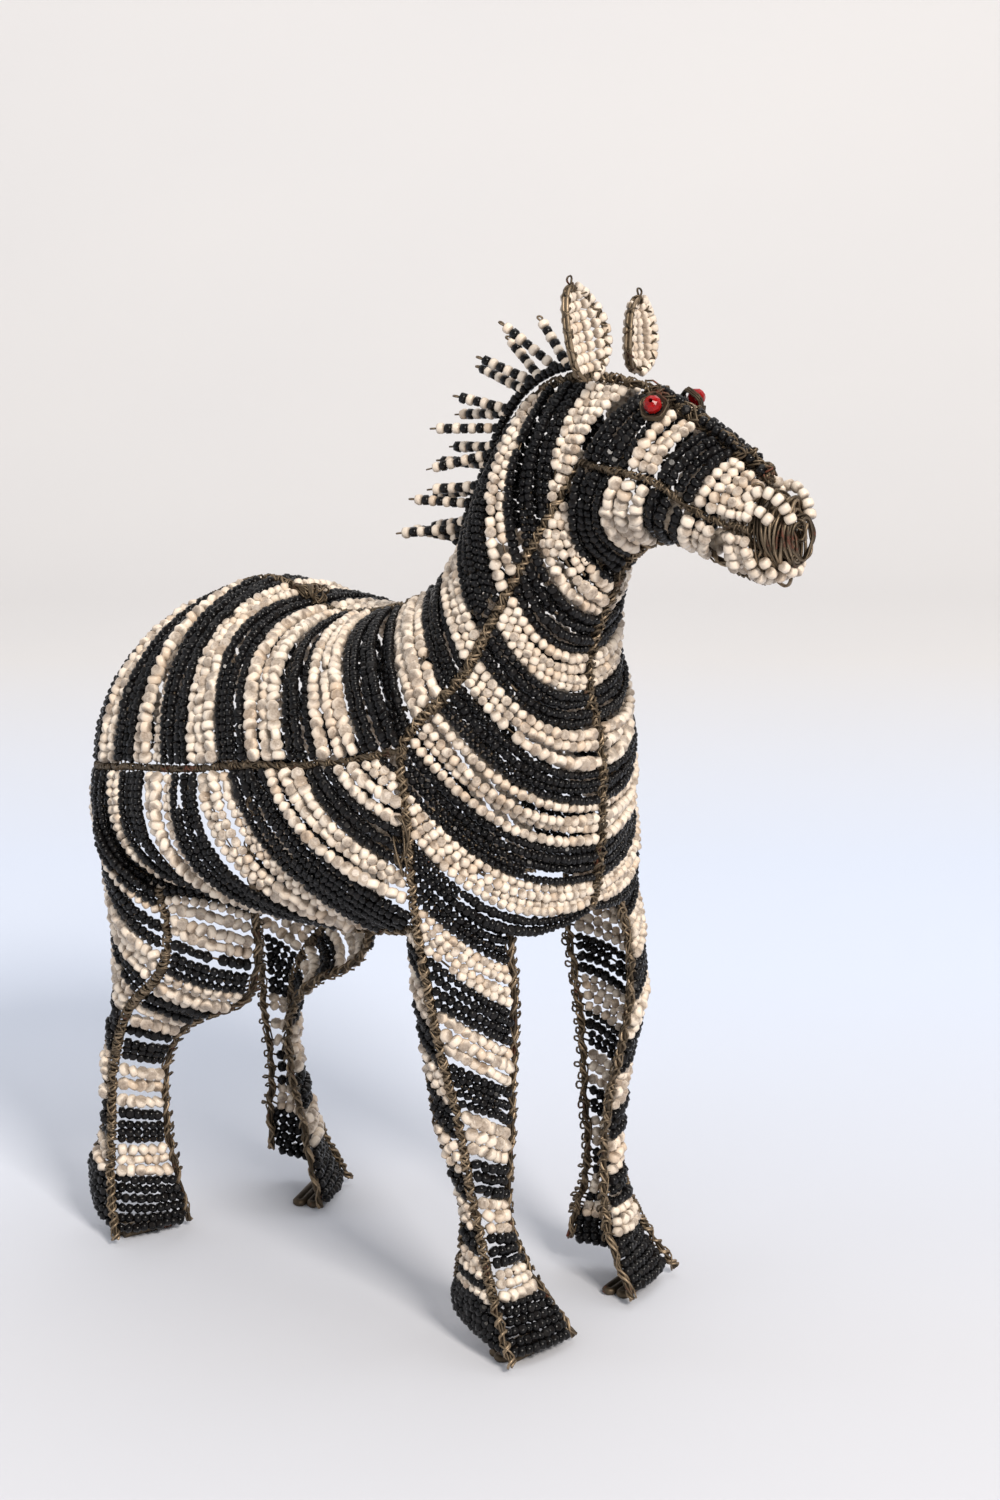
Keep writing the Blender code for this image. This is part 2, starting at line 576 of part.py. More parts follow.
def around(name, centre, axis, u, w, profile, angles, slot):
    """Closed profile of (radius, height) turned about an axis."""
    verts = [centre + axis * h + r * (np.cos(a) * u + np.sin(a) * w) for a in angles for r, h in profile]
    count = len(profile)
    faces = []
    for i in range(len(angles)):
        n = (i + 1) % len(angles)
        for j in range(count):
            k = (j + 1) % count
            faces.append((i * count + j, n * count + j, n * count + k, i * count + k))
    made = add(name, verts, faces, slot)
    if signed_volume(made.data) < 0:
        made.data.flip_normals()
    return made


def mane():
    """Row of beads along the crest with quills that stand out of it, made one body."""
    top = spline(placed(TOPLINE))
    start, end = nearest(top, placed((-40, 0, 186))), nearest(top, placed((-8, 0, 229)))
    part = at(top, np.linspace(start, end, 60))
    tangent = unit(np.gradient(part, axis=0))
    away = unit(np.cross(tangent, (0.0, 1.0, 0.0)))
    away = away * np.sign(-away[:, :1])
    lift = WIRE_DIAMETER / 2 + CREST_ROW_DIAMETER / 2 + CLEARANCE
    row = part + away * lift
    verts, faces = tube(row, CREST_ROW_DIAMETER / 2, 5, 14)
    whole = add("mane", verts, faces, "black_beads")
    pieces = [whole]
    for k in range(QUILLS):
        share = (k + 0.5 + 0.38 * np.sin(2.1 * k + 0.5)) / QUILLS
        i = int(share * 59)
        lean = (-1) ** k * (0.12 + 0.20 * ((k * 7) % 5) / 4)
        reach = (QUILL_REACH + 2.0 * np.sin(2.2 * k)) * UNIT
        fall = QUILL_FALL + 0.18 * np.sin(2.3 * k + 1.0)
        way = unit(away[i] + tangent[i] * fall + np.array([0.0, lean, 0.0]))
        origin = row[i]
        share_out = np.array([0.0, 0.25, 0.55, 0.85, 1.0])
        width = np.array([0.80, 1.0, 0.85, 0.95, 0.40])
        rings = origin + way * reach * share_out[:, None]
        verts, faces = tube(rings, QUILL_DIAMETER / 2 * width, 5)
        pieces.append(add(f"quill_{k}", verts, faces, "black_beads"))
    return joined("mane", pieces, "black_beads")


def muzzle():
    """Bare wire wound round the open end of the nose."""
    turns = 2.75
    t = np.linspace(0, 1, 38)
    angle = 2 * np.pi * turns * t
    radius = (8.6 - 4.2 * t) * UNIT
    centre = placed(np.stack([46.5 + 5.5 * t, 0 * t, 197.5 + 0.5 * t], axis=-1))
    line = centre + np.stack([0 * t, radius * np.sin(angle) * 0.80, radius * np.cos(angle)], axis=-1)
    verts, faces = tube(line, MUZZLE_WIRE / 2, 5, steady=(1.0, 0.0, 0.0))
    return add("muzzle_wires", verts, faces, "aged_wire")


def tail():
    """Beaded strand that hangs from the rump and ends in a tassel."""
    line = spline(placed([(-149.2, 0, 135.5), (-150.4, 0, 132), (-155.4, 0, 121), (-157, 0, 103),
                          (-156, 0, 85), (-154, 0, 67)]))
    share = np.linspace(0, 1, 15)
    radii = np.where(share < 0.72, TAIL_DIAMETER / 2, 0)
    tuft = TASSEL_DIAMETER / 2 * np.sin(np.pi * np.clip((share - 0.66) / 0.36, 0, 1)) ** 0.7
    radii = np.maximum(np.maximum(radii, tuft), TAIL_DIAMETER / 4)
    verts, faces = tube(even(line, 15), radii, 7)
    return add("tail", verts, faces, "black_beads")


def main():
    clear_scene()
    wire("topline_wire", spline(placed(TOPLINE)), 28)
    wire("throat_wire", spline(placed(THROAT)), 18)
    side_pieces(1, "right")
    side_pieces(-1, "left")
    mane()
    muzzle()
    tail()
    for item in list(bpy.data.objects):
        if item.type == "MESH" and not item.hide_render and signed_volume(item.data) < 0:
            item.data.flip_normals()


main()
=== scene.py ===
"""Zebra figurine of wire and glass beads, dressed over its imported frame.

Every bead row runs from one frame wire to another. A row is named by the lengths along the two
wires where it is tied, and the stripes are runs of rows. Points are written in 250ths of the
figure's height, for the right side, and are turned over for the left side.
"""
import math
from collections import namedtuple

import bpy
import numpy as np
from mathutils import Matrix


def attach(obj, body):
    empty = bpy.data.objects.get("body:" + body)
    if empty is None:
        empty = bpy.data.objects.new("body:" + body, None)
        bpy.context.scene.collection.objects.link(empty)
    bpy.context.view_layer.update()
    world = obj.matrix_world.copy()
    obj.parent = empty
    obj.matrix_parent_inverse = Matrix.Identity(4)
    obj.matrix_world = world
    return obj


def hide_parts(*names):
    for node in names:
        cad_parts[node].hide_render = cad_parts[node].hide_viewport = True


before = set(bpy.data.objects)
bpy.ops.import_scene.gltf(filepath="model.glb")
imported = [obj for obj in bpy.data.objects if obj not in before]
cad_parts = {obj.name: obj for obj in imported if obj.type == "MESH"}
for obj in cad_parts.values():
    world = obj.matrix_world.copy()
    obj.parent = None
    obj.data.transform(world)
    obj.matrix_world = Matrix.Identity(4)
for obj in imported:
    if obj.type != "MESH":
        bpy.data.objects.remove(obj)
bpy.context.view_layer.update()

bl_info = {
    "name": "Beaded zebra figurine",
    "version": (1, 0, 0),
    "blender": (4, 5, 0),
    "location": "View3D > Sidebar > Zebra",
    "description": "Strings the bead rows, lashings, mane and hooves of a wire zebra",
    "category": "Object",
}

UNIT = 0.001
SHIFT_X = 53.20
HIND_STEP = 23.0
WIRE_RADIUS = 1.0
KNEE_PUSH = 6.0
HOOF_BULGE = 2.4
QUILLS = 17
QUILL_REACH = 14.5
QUILL_FALL = -0.62
MANE_ENDS = ((-40, 0, 186), (-8, 0, 229))
CREST_LIFT = 2.7
EAR_BASE = (4.0, -9.4, 227.0)
EAR_TIPS = {1: (1.0, -12.0, 247.0), -1: (3.5, -10.5, 243.0)}
EAR_HALF_WIDTH = 6.9
EYE_PLACE, EYE_LOOK, EYE_TURNS = (18.5, -9.0, 224.8), (0.25, -0.80, 0.50), 3.4
THIN_WIRE_RADIUS = 0.62

# by colour, black first: the width that a row takes up, and a bead's length as a share of its width
ROW_WIDTH = {True: 2.45, False: 3.0}
BEAD_LENGTH = {True: 0.76, False: 0.82}
# rows are set in where two stand this many widths apart, on the body and on the open legs
CROWDED, CROWDED_LEG = 1.5, 1.72
# and they run where the gap is this many widths, every second one over a shorter stretch
OPEN_LONG, OPEN_SHORT = 1.45, 1.85

# share of a bead's place that is half its glass, how far a row stands in or out, and how often one
# bead is missing
HALF_GLASS, STAGGER, MISSING = 0.48, 0.35, 0.10

# slots of a piece that is strung with beads: ivory and black glass stand in these on every piece
IVORY, BLACK, WIRE = 0, 1, 2
BEAD_FINISHES = ("ivory_glass", "black_glass", "row_wire")

WIRES = {
    "topline": [(-149, 0, 136), (-144, 0, 150), (-131, 0, 161), (-112, 0, 170), (-96, 0, 173),
                (-84, 0, 168), (-64, 0, 169), (-50, 0, 175), (-41, 0, 184), (-35, 0, 196),
                (-30, 0, 207), (-24, 0, 219), (-16, 0, 226), (-5, 0, 229), (8, 0, 228),
                (25, 0, 221), (37, 0, 214), (44, 0, 209)],
    "throat": [(43, 0, 187), (35, 0, 189), (24, 0, 193), (14, 0, 193), (8, 0, 189), (2, 0, 179),
               (-3, 0, 167), (-4, 0, 157), (-1, 0, 147), (0, 0, 131), (-1, 0, 114), (-3, 0, 105)],
    "flank": [(-27, -41, 147), (-49, -43, 141), (-70, -44, 138), (-90, -42, 134), (-114, -36, 130),
              (-133, -28, 126), (-146, -15, 123), (-151, -2, 122)],
    "ridge": [(-1, -10, 211), (-4, -12, 203), (-8, -14, 195), (-11, -17, 187), (-16, -22, 174),
              (-20, -27, 163), (-25, -33, 155), (-29, -38, 147), (-26, -41, 136), (-24, -42, 122),
              (-23, -41, 107), (-21, -39, 89), (-20, -35, 72), (-18, -32, 57), (-16, -30, 40),
              (-14, -29, 29), (-9, -31, 16), (-1, -35, 3.5)],
    "cheek": [(1, -11, 211), (13, -14, 210), (23, -13.5, 208), (30, -11, 203), (38, -9, 200),
              (43, -8, 199)],
    "belly": [(-24, -40, 105), (-44, -33, 100), (-60, -29, 98), (-74, -26, 99), (-86, -25, 102)],
    "fore_front": [(-11, -22, 104), (-10, -21, 86), (-12, -19, 63), (-12.5, -19, 48),
                   (-12.5, -19, 29), (-8, -16, 16), (1, -13, 3.5)],
    "fore_rear": [(-31, -31, 102), (-30, -31, 84), (-27, -31, 67), (-25, -30, 53), (-22, -27, 40),
                  (-21, -26, 27), (-23, -25, 17), (-25, -24, 8)],
    "hind_ridge": [(-104, -39, 100), (-103, -38, 91), (-106, -37, 80), (-113, -35, 73),
                   (-121, -33, 66), (-127, -31, 57), (-131, -30, 43), (-132, -30, 29),
                   (-131, -32, 14.5), (-128, -34, 3.5)],
    "hind_front": [(-86, -25, 99), (-86, -24, 85), (-91, -22, 72), (-105, -21, 64), (-117, -20, 56),
                   (-122, -19, 47), (-124, -18, 33), (-123, -17, 21), (-122, -15, 10.5),
                   (-121, -14, 3.5)],
    "hind_rear": [(-132, -27, 120), (-132, -27, 103), (-131, -26, 86), (-131, -26, 71),
                  (-134, -26, 57), (-137, -26, 43), (-138, -25, 31), (-142, -25, 21),
                  (-144, -24, 9.5)],
    "tail": [(-149.2, 0, 135.5), (-150.4, 0, 132), (-155.4, 0, 121), (-157, 0, 103),
             (-156, 0, 85), (-154, 0, 67)],
}


# ---------------------------------------------------------------- lines

def unit(v):
    """The vectors, each scaled to length one."""
    return v / np.maximum(np.linalg.norm(v, axis=-1, keepdims=True), 1e-9)


def lengths(line):
    """The length run so far at each point of a polyline."""
    return np.concatenate([[0.0], np.cumsum(np.linalg.norm(np.diff(line, axis=0), axis=1))])


def at(line, s):
    """Points of a polyline at the lengths s."""
    t = lengths(line)
    return np.stack([np.interp(s, t, line[:, i]) for i in range(3)], axis=-1)


def heading(line, s):
    """Unit direction of a polyline at the lengths s, from a step of a millimetre each way."""
    return unit(at(line, np.asarray(s) + 1.0) - at(line, np.asarray(s) - 1.0))


def spline(points, count=400):
    """Natural cubic through the points by chord length: second slopes solve the usual tridiagonal
    set, and the curve is then sampled at even lengths."""
    p = np.asarray(points, float)
    t = lengths(p)
    h = np.diff(t)
    size = len(p)
    left, right = np.eye(size), np.zeros((size, 3))
    for i in range(1, size - 1):
        left[i, i - 1:i + 2] = h[i - 1], 2 * (h[i - 1] + h[i]), h[i]
        right[i] = 6 * ((p[i + 1] - p[i]) / h[i] - (p[i] - p[i - 1]) / h[i - 1])
    bend = np.linalg.solve(left, right)
    s = np.linspace(0, t[-1], 6 * count)
    k = np.clip(np.searchsorted(t, s, side="right") - 1, 0, size - 2)
    a = ((t[k + 1] - s) / h[k])[:, None]
    b = 1 - a
    curve = ((a**3 - a) * bend[k] + (b**3 - b) * bend[k + 1]) * (h[k] ** 2 / 6)[:, None]
    fine = a * p[k] + b * p[k + 1] + curve
    return at(fine, np.linspace(0, lengths(fine)[-1], count))


def knee_forward(points, share, side):
    """The left fore leg's knee is pushed forward: its wires move along x by shares of the push."""
    p = np.array(points, float)
    if side < 0:
        lean = np.interp(p[:, 2], (5, 20, 48, 72, 88, 105), (0, 0.1, 0.35, 1, 0.62, 0))
        p[:, 0] += share * KNEE_PUSH * lean
    return p


def lines_of(side):
    """Every frame wire as a smooth line, and the two edges where rows leave a wire for another."""
    share = {"ridge": 1.0, "fore_front": 1.2}
    lines = {name: spline(knee_forward(points, share.get(name, 0.0), side))
             for name, points in WIRES.items()}
    shoulder = at(lines["ridge"], np.linspace(80.5, 119.4, 120))
    lines["low_flank"] = np.concatenate([shoulder, lines["belly"][::3]])
    lines["haunch"] = spline([(-86, -25, 102), (-96, -33, 100), (-104, -39, 100), (-117, -37, 106),
                              (-132, -27, 120)])
    return lines


SIDE_LINES = {side: lines_of(side) for side in (1, -1)}
LINES = SIDE_LINES[1]
HIND_LINES = ("hind_ridge", "hind_front", "hind_rear")


def place(points, side, leg=False):
    """Metres in the shared frame: the left hind leg slides forward below the thigh, the left side
    is turned over, and the whole is moved along by the frame's shift."""
    p = np.array(points, float)
    if leg and side < 0:
        p[..., 0] += HIND_STEP * np.clip(1 - p[..., 2] / 77.0, 0, 1)
    p[..., 1] *= side
    p[..., 0] += SHIFT_X
    return p * UNIT


# ---------------------------------------------------------------- meshes

class Bundle:
    """Faces of one piece, gathered as whole arrays and put into one mesh."""

    def __init__(self):
        self.points, self.corners, self.counts, self.slots, self.flat = [], [], [], [], []
        self.tone, self.rim = [], []
        self.size = 0

    def put(self, points, sheets, slot, tone=0.5, rim=0.0):
        """sheets are (faces, flat) pairs, with every face of a sheet of as many corners."""
        count = len(points)
        self.points.append(points)
        self.tone.append(np.broadcast_to(tone, count))
        self.rim.append(np.broadcast_to(rim, count))
        for faces, flat in sheets:
            self.corners.append((faces + self.size).ravel())
            self.counts.append(np.full(len(faces), faces.shape[1]))
            self.slots.append(np.full(len(faces), slot))
            self.flat.append(np.full(len(faces), flat))
        self.size += count

    def object(self, name, finishes):
        mesh = bpy.data.meshes.new(name)
        points = np.concatenate(self.points).astype(np.float32)
        corners = np.concatenate(self.corners).astype(np.int32)
        counts = np.concatenate(self.counts)
        mesh.vertices.add(len(points))
        mesh.vertices.foreach_set("co", points.ravel())
        mesh.loops.add(len(corners))
        mesh.loops.foreach_set("vertex_index", corners)
        mesh.polygons.add(len(counts))
        starts = np.concatenate([[0], np.cumsum(counts)[:-1]])
        mesh.polygons.foreach_set("loop_start", starts.astype(np.int32))
        mesh.polygons.foreach_set("material_index", np.concatenate(self.slots).astype(np.int32))
        mesh.update(calc_edges=True)
        mesh.polygons.foreach_set("use_smooth", ~np.concatenate(self.flat).astype(bool))
        for key, values in (("tone", self.tone), ("rim", self.rim)):
            mesh.attributes.new(key, "FLOAT", "POINT").data.foreach_set(
                "value", np.concatenate(values).astype(np.float32))
        for finish in finishes:
            mesh.materials.append(finish_named(finish))
        made = bpy.data.objects.new(name, mesh)
        bpy.context.scene.collection.objects.link(made)
        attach(made, "root")
        return made


def square_to(v):
    """A unit vector square to each given one."""
    ref = np.where(np.abs(v[..., 2:3]) < 0.8, np.array([0.0, 0.0, 1.0]), np.array([1.0, 0.0, 0.0]))
    return unit(np.cross(v, ref))


def grid_faces(rings, sides):
    """Quads round a tube: side j of ring i joins side j + 1 and ring i + 1."""
    i, j = np.meshgrid(np.arange(rings - 1), np.arange(sides), indexing="ij")
    here, ahead = i * sides, (i + 1) * sides
    k = (j + 1) % sides
    return np.stack([here + j, here + k, ahead + k, ahead + j], axis=-1).reshape(-1, 4)


def copies(faces, number, stride):
    """The faces of one form, repeated for number like forms of stride points each."""
    return (faces[None] + (np.arange(number) * stride)[:, None, None]).reshape(-1, faces.shape[1])


def sweep(bundle, paths, radius, slot, sides=4, tone=None):
    """Round bars along many paths at once. Each ring is centre + radius (cos a across + sin a up),
    and its across is carried on from the ring before, made square to the path again."""
    paths = np.asarray(paths, float)
    if paths.ndim == 2:
        paths = paths[None]
    number, count = paths.shape[:2]
    tangent = unit(np.gradient(paths, axis=1))
    across = square_to(tangent[:, 0])
    turn = 2 * np.pi * (np.arange(sides) + 0.5) / sides
    cos, sin = np.cos(turn)[:, None], np.sin(turn)[:, None]
    radii = np.broadcast_to(radius, (number, count))
    rings = []
    for i in range(count):
        t = tangent[:, i]
        across = unit(across - t * np.sum(across * t, axis=1, keepdims=True))
        up = np.cross(t, across)
        spoke = cos * across[:, None] + sin * up[:, None]
        rings.append(paths[:, i, None] + radii[:, i, None, None] * spoke)
    points = np.stack(rings, axis=1).reshape(-1, 3)
    stride = count * sides
    caps = np.stack([np.arange(sides)[::-1], (count - 1) * sides + np.arange(sides)])
    if tone is None:
        tone = np.random.default_rng(number * 7 + count).random(number)
    bundle.put(points, [(copies(grid_faces(count, sides), number, stride), False),
                        (copies(caps, number, stride), True)], slot,
               np.repeat(np.broadcast_to(tone, number), stride))


IVORY_PROFILE = ((-1.0, 0.50), (-0.84, 0.86), (-0.40, 1.0), (0.40, 1.0), (0.84, 0.86), (1.0, 0.50))
BLACK_PROFILE = ((-1.0, 0.48), (-0.62, 0.98), (0.62, 0.98), (1.0, 0.48))
BEAD_SIDES = 7


def beads(bundle, centres, axes, radius, half, black, seed):
    """Short glass rings: ring i of the profile stands at centre + axis half x_i, with radius
    radius rho_i, each bead turned at random about its own hole."""
    if not len(centres):
        return
    random = np.random.default_rng(seed)
    profile = np.array(BLACK_PROFILE if black else IVORY_PROFILE)
    sides = BEAD_SIDES
    number = len(centres)
    axes = unit(axes + 0.05 * random.normal(size=(number, 3)))
    u = square_to(axes)
    w = np.cross(axes, u)
    turn = 2 * np.pi * np.arange(sides) / sides + random.random(number)[:, None] * 2 * np.pi
    round_ = np.cos(turn)[..., None] * u[:, None] + np.sin(turn)[..., None] * w[:, None]
    radius = np.broadcast_to(radius, number) * (1 + 0.05 * np.clip(random.normal(size=number), -2, 2))
    half = np.broadcast_to(half, number)
    along = centres[:, None, None] + axes[:, None, None] * (half[:, None] * profile[:, 0])[..., None, None]
    points = along + round_[:, None] * (radius[:, None] * profile[:, 1])[..., None, None]
    rings = len(profile)
    stride = rings * sides
    caps = np.stack([np.arange(sides)[::-1], (rings - 1) * sides + np.arange(sides)])
    rim = np.tile(np.repeat(np.abs(profile[:, 0]), sides), number)
    bundle.put(points.reshape(-1, 3), [(copies(grid_faces(rings, sides), number, stride), False),
                                       (copies(caps, number, stride), True)],
               BLACK if black else IVORY, np.repeat(random.random(number), stride), rim)


def string(bundle, line, s_at, radius, half, black, seed):
    """Beads on a line at the lengths s_at, their radius and half length in millimetres."""
    beads(bundle, place(at(line, s_at), 1), heading(line, s_at), radius * UNIT, half * UNIT, black, seed)


# ---------------------------------------------------------------- bead rows

Fan = namedtuple("Fan", "first second stripes bounds push margins ends leg")

FANS = {
    "neck": Fan("topline", "ridge", "w3 b4 w2 b3 w3 b4 w3 b2",
                [(208, 0), (193, 14), (183, 29), (178, 36), (141, 45.5), (130, 53.5), (119, 61.5),
                 (109, 71), (106.3, 79.5)],
                [(118.5, 0, -5, 4), (130.9, -1, -5, 3), (150, -2, -6, 3), (170.4, -3, -7, 2),
                 (183.4, -3, -7, 1), (196.3, -1, -4, 1)], (2.4, 1.5), ("wrap", "wrap"), False),
    "back": Fan("topline", "flank", "b4 w3 b3 w3 b3 w3 b4 w3 b3 w3 b3 w3 b2",
                [(106.3, -1), (100, 10.5), (94.5, 23), (91, 32), (84, 44), (77, 54.5), (71.5, 64.7),
                 (62, 77), (54, 90), (46, 100.5), (37, 113), (24, 124.5), (10, 137), (3, 141)],
                [(1.9, 0, -1, 0), (14.8, -1, -3, 1), (32.1, -2, -5, 3), (53.1, -3, -7, 5),
                 (69.8, -3, -8, 8), (82.7, -2, -9, 9), (103.1, -1, -8, 6), (116.7, 0, -5, 4)],
                (1.6, 1.4), ("wrap", "wrap"), False),
    "flank": Fan("flank", "low_flank", "b1 w3 b3 w3 b4 w3 b3 w3 b3 w2",
                 [(4, 0), (9.5, 4.3), (20, 15), (28, 25), (40, 32.5), (51, 58.9), (62, 69.9),
                  (72, 81.9), (84, 91.9), (97, 100.9), (103, 104)],
                 [(4.3, 0, 0, 0), (12.6, 0, -2, 0), (32, -2, -5, -1), (54.4, -3, -8, -2),
                  (64.8, -4, -11, -4), (77.4, -5, -12, -5), (91.8, -5, -13, -6), (110.9, -4, -12, -7)],
                 (1.4, 1.6), ("wrap", "wrap"), False),
    "haunch": Fan("flank", "haunch", "b4 w1 b3 w2 b2",
                  [(103, 0.5), (113, 15), (116, 19), (126, 30), (132, 39), (137, 46)],
                  [(103, -4, -12, -7), (112, -4, -8, -5), (120, -3, -5, -3), (137, -2, -3, -1)],
                  (1.4, 0.6), ("wrap", "wrap"), False),
    "chest": Fan("ridge", "throat", "w3 b4 w4 b4 w3 b4 w4 b4 w4 b2",
                 [(6.5, 45.5), (20, 54), (32, 63.5), (40.5, 72.5), (49.5, 80.5), (56, 91), (65, 99),
                  (74.5, 108.5), (84.5, 118), (95.5, 124), (104, 127)],
                 [(3.4, 1, -3, -2), (13.6, 1, -4, -3), (30.1, 2, -5, -4), (48.8, 4, -6, -5),
                  (64.1, 5, -7, -6), (86.3, 5, -7, -7), (102.2, 5, -6, -9)],
                 (1.6, 1.5), ("wrap", "loop"), False),
    "face": Fan("cheek", "topline", "b5 w3 b4 w3 w3",
                [(0, 208), (14.5, 218), (21.5, 226.5), (32, 237), (40, 242.5), (45.5, 246)],
                [(2.2, 0, -4, 1), (12.4, 0, -2, 1.5), (22.7, 0, -2.5, 1.5), (31.8, 0, -3, 2),
                 (40.6, 0, -3, 2), (44.8, 0, -2, 1)], (1.4, 2.8), ("wrap", "wrap"), False),
    "jaw": Fan("cheek", "throat", "b4 w3 b3 w3",
               [(0, 46), (12, 35.5), (21.8, 28), (31, 21), (39.5, 14.3)],
               [(2.2, -3, -6, -3), (12.4, -3, -5, -2), (22.7, -1, -5, -2), (32.6, 0, -4, -1),
                (41.5, 0, -3, -1)], (1.4, 1.4), ("wrap", "wrap"), False),
    "chin": Fan("cheek", "throat", "w3", [(42, 9), (45.4, 0.5)],
                [(41, 0, -3, -1), (46, 0, -2, 0)], (1.4, 1.4), ("wrap", "wrap"), False),
    "fore_front": Fan("ridge", "fore_front", "b4 w4 b4 w3 b3 w3 b3 w3 b3 w3",
                      [(101, 0), (111.5, 9.5), (123.5, 20.5), (137, 30.5), (150, 41.5), (164, 50.7),
                       (176, 60), (186.5, 68.3), (196, 77), (205, 84.5), (213, 92.5)],
                      [(105, 3, -2, -3), (127.1, 3, -2, -1), (148.7, 3, -1, 0), (168.6, 2, -1, 0),
                       (199.2, 2, 0, 0)], (1.7, 1.7), ("wrap", "loop"), False),
    "fore_side": Fan("ridge", "fore_rear", "w2 b4 w4 b4 w4 b4 w3 b3 w3 b3 w3 b2 w3",
                     [(120, 1), (124, 2.5), (135, 4), (145, 15), (156, 26), (165, 35), (174, 45),
                      (183, 54.5), (190, 62), (197, 70), (203, 77), (208, 83), (210, 85.5), (214, 89)],
                     [(121.5, -1, -1, 1), (163.5, -1, -1.5, 1), (200.4, -0.5, -1, 0)],
                     (1.3, 1.5), ("wrap", "loop"), False),
    "thigh_front": Fan("hind_ridge", "hind_front", "b3 w4 b3 w3 b3 w2 b3 w3 b3 w3",
                       [(-1, -1), (0.5, 4.5), (10, 16.2), (22, 28), (33, 42), (39, 51.5), (48.5, 59),
                        (61, 71), (74, 83), (84.5, 92.5), (93, 101.5)],
                       [(1.9, 1, -4, 3), (9.2, 1, -3, 0), (22.1, 1, -2, -1), (35.9, 2, -1, 0),
                        (85.6, 2, 0, 0)], (1.7, 1.7), ("wrap", "loop"), True),
    "thigh_side": Fan("hind_ridge", "hind_rear", "b3 w1 b4 w3 b2 w3 b4 w3 b3 w3",
                      [(0, -1), (4, 1.5), (7, 5), (16, 14), (27, 25), (36, 34), (46, 48),
                       (61, 68.5), (74, 83), (84.5, 93), (93, 101)],
                      [(1.1, -2, -9, 1), (9.2, -2, -7, -2), (22.1, -1, -5, -2), (38.6, 0, -3, -1),
                       (52.6, 0, -2, 0), (85.6, 0, -1, 0)], (1.7, 1.7), ("wrap", "loop"), True),
}

SAMPLES = 25
TIE_POINTS = 9


def stripe_rows(fan):
    """Lengths on both wires of every row, and whether it is black. Row j of n in a stripe stands
    at (j + 0.5) / n between the stripe's two bounds."""
    a, b, black = [], [], []
    for word, low, high in zip(fan.stripes.split(), fan.bounds, fan.bounds[1:]):
        share = (np.arange(int(word[1:])) + 0.5) / int(word[1:])
        a.append(low[0] + (high[0] - low[0]) * share)
        b.append(low[1] + (high[1] - low[1]) * share)
        black.append(np.full(len(share), word[0] == "b"))
    return np.concatenate(a), np.concatenate(b), np.concatenate(black)


def row_paths(fan, lines, random):
    """Rows as chord + push 4 v (1 - v), with short rows set in where two neighbours stand apart."""
    a, b, black = stripe_rows(fan)
    first, second = lines[fan.first], lines[fan.second]
    a = a + 0.25 * random.normal(size=len(a))
    b = b + 0.25 * random.normal(size=len(b))
    table = np.array(sorted(fan.push))
    push = np.stack([np.interp(a, table[:, 0], table[:, i]) for i in (1, 2, 3)], axis=-1)
    push = push * (1 + 0.05 * random.normal(size=(len(a), 1)))
    v = np.linspace(0, 1, SAMPLES)[None, :, None]
    rows = at(first, a)[:, None] * (1 - v) + at(second, b)[:, None] * v + push[:, None] * 4 * v * (1 - v)
    crowded = CROWDED_LEG if "loop" in fan.ends and fan.second != "throat" else CROWDED
    paths = [(row, tone, True, True) for row, tone in zip(rows, black)]
    ends = [(a[j], b[j]) for j in range(len(a))]
    for j in range(len(rows) - 1):
        width = ROW_WIDTH[bool(black[j])]
        apart = np.linalg.norm(rows[j + 1] - rows[j], axis=1)
        more = int(round(apart.max() / width)) - 1
        if apart.max() < crowded * width:
            continue
        for i in range(1, more + 1):
            share = i / (more + 1)
            between = rows[j] * (1 - share) + rows[j + 1] * share
            gaping = np.flatnonzero(apart > (OPEN_LONG if i % 2 else OPEN_SHORT) * width)
            if len(gaping) < 4:
                continue
            low, high = gaping[0], gaping[-1]
            cut = at(between, np.linspace(lengths(between)[low], lengths(between)[high], SAMPLES))
            paths.append((cut, black[j] if share < 0.5 else black[j + 1], low == 0, high == SAMPLES - 1))
            ends.append((a[j] * (1 - share) + a[j + 1] * share, b[j] * (1 - share) + b[j + 1] * share))
    return paths, ends


def tie(point, away, along, kind, thick, random):
    """A row's end on its frame wire: 1.3 turns round the wire, or a thin loop that stands out past
    it. away points off the panel, along runs with the frame wire, and thick is that wire's radius.
    The loop is reach sin(pi u) away, 0.9 sin(2 pi u) along and 1.2 cos(pi u) square to both."""
    normal = np.cross(away, along)
    u = np.linspace(0, 1, TIE_POINTS)[:, None]
    if kind == "wrap":
        angle = 2 * np.pi * 1.3 * u
        ring = (thick + 0.20) * (-np.cos(angle) * away + np.sin(angle) * normal)
        return point + ring + along * (1.5 * u * random.choice((-1, 1)))
    reach = 1.8 + 1.0 * random.random() ** 2
    lean = 0.7 * random.normal()
    return (point + away * (reach * np.sin(np.pi * u) - 0.2)
            + along * (0.9 * np.sin(2 * np.pi * u) + lean * u * 0.6) + normal * (1.2 * np.cos(np.pi * u)))


def row_end(row, wire, s, tied, kind, thick, random):
    """The wire past a row's first bead, from the row outwards: a tie where the row meets a frame
    wire at that wire's length s, and else a short straight tail."""
    away = unit(row[0] - row[3])
    if tied:
        return tie(row[0], away, heading(wire, [s])[0], kind, thick, random)
    return row[0] + away * np.linspace(0.1, 1, TIE_POINTS)[:, None]


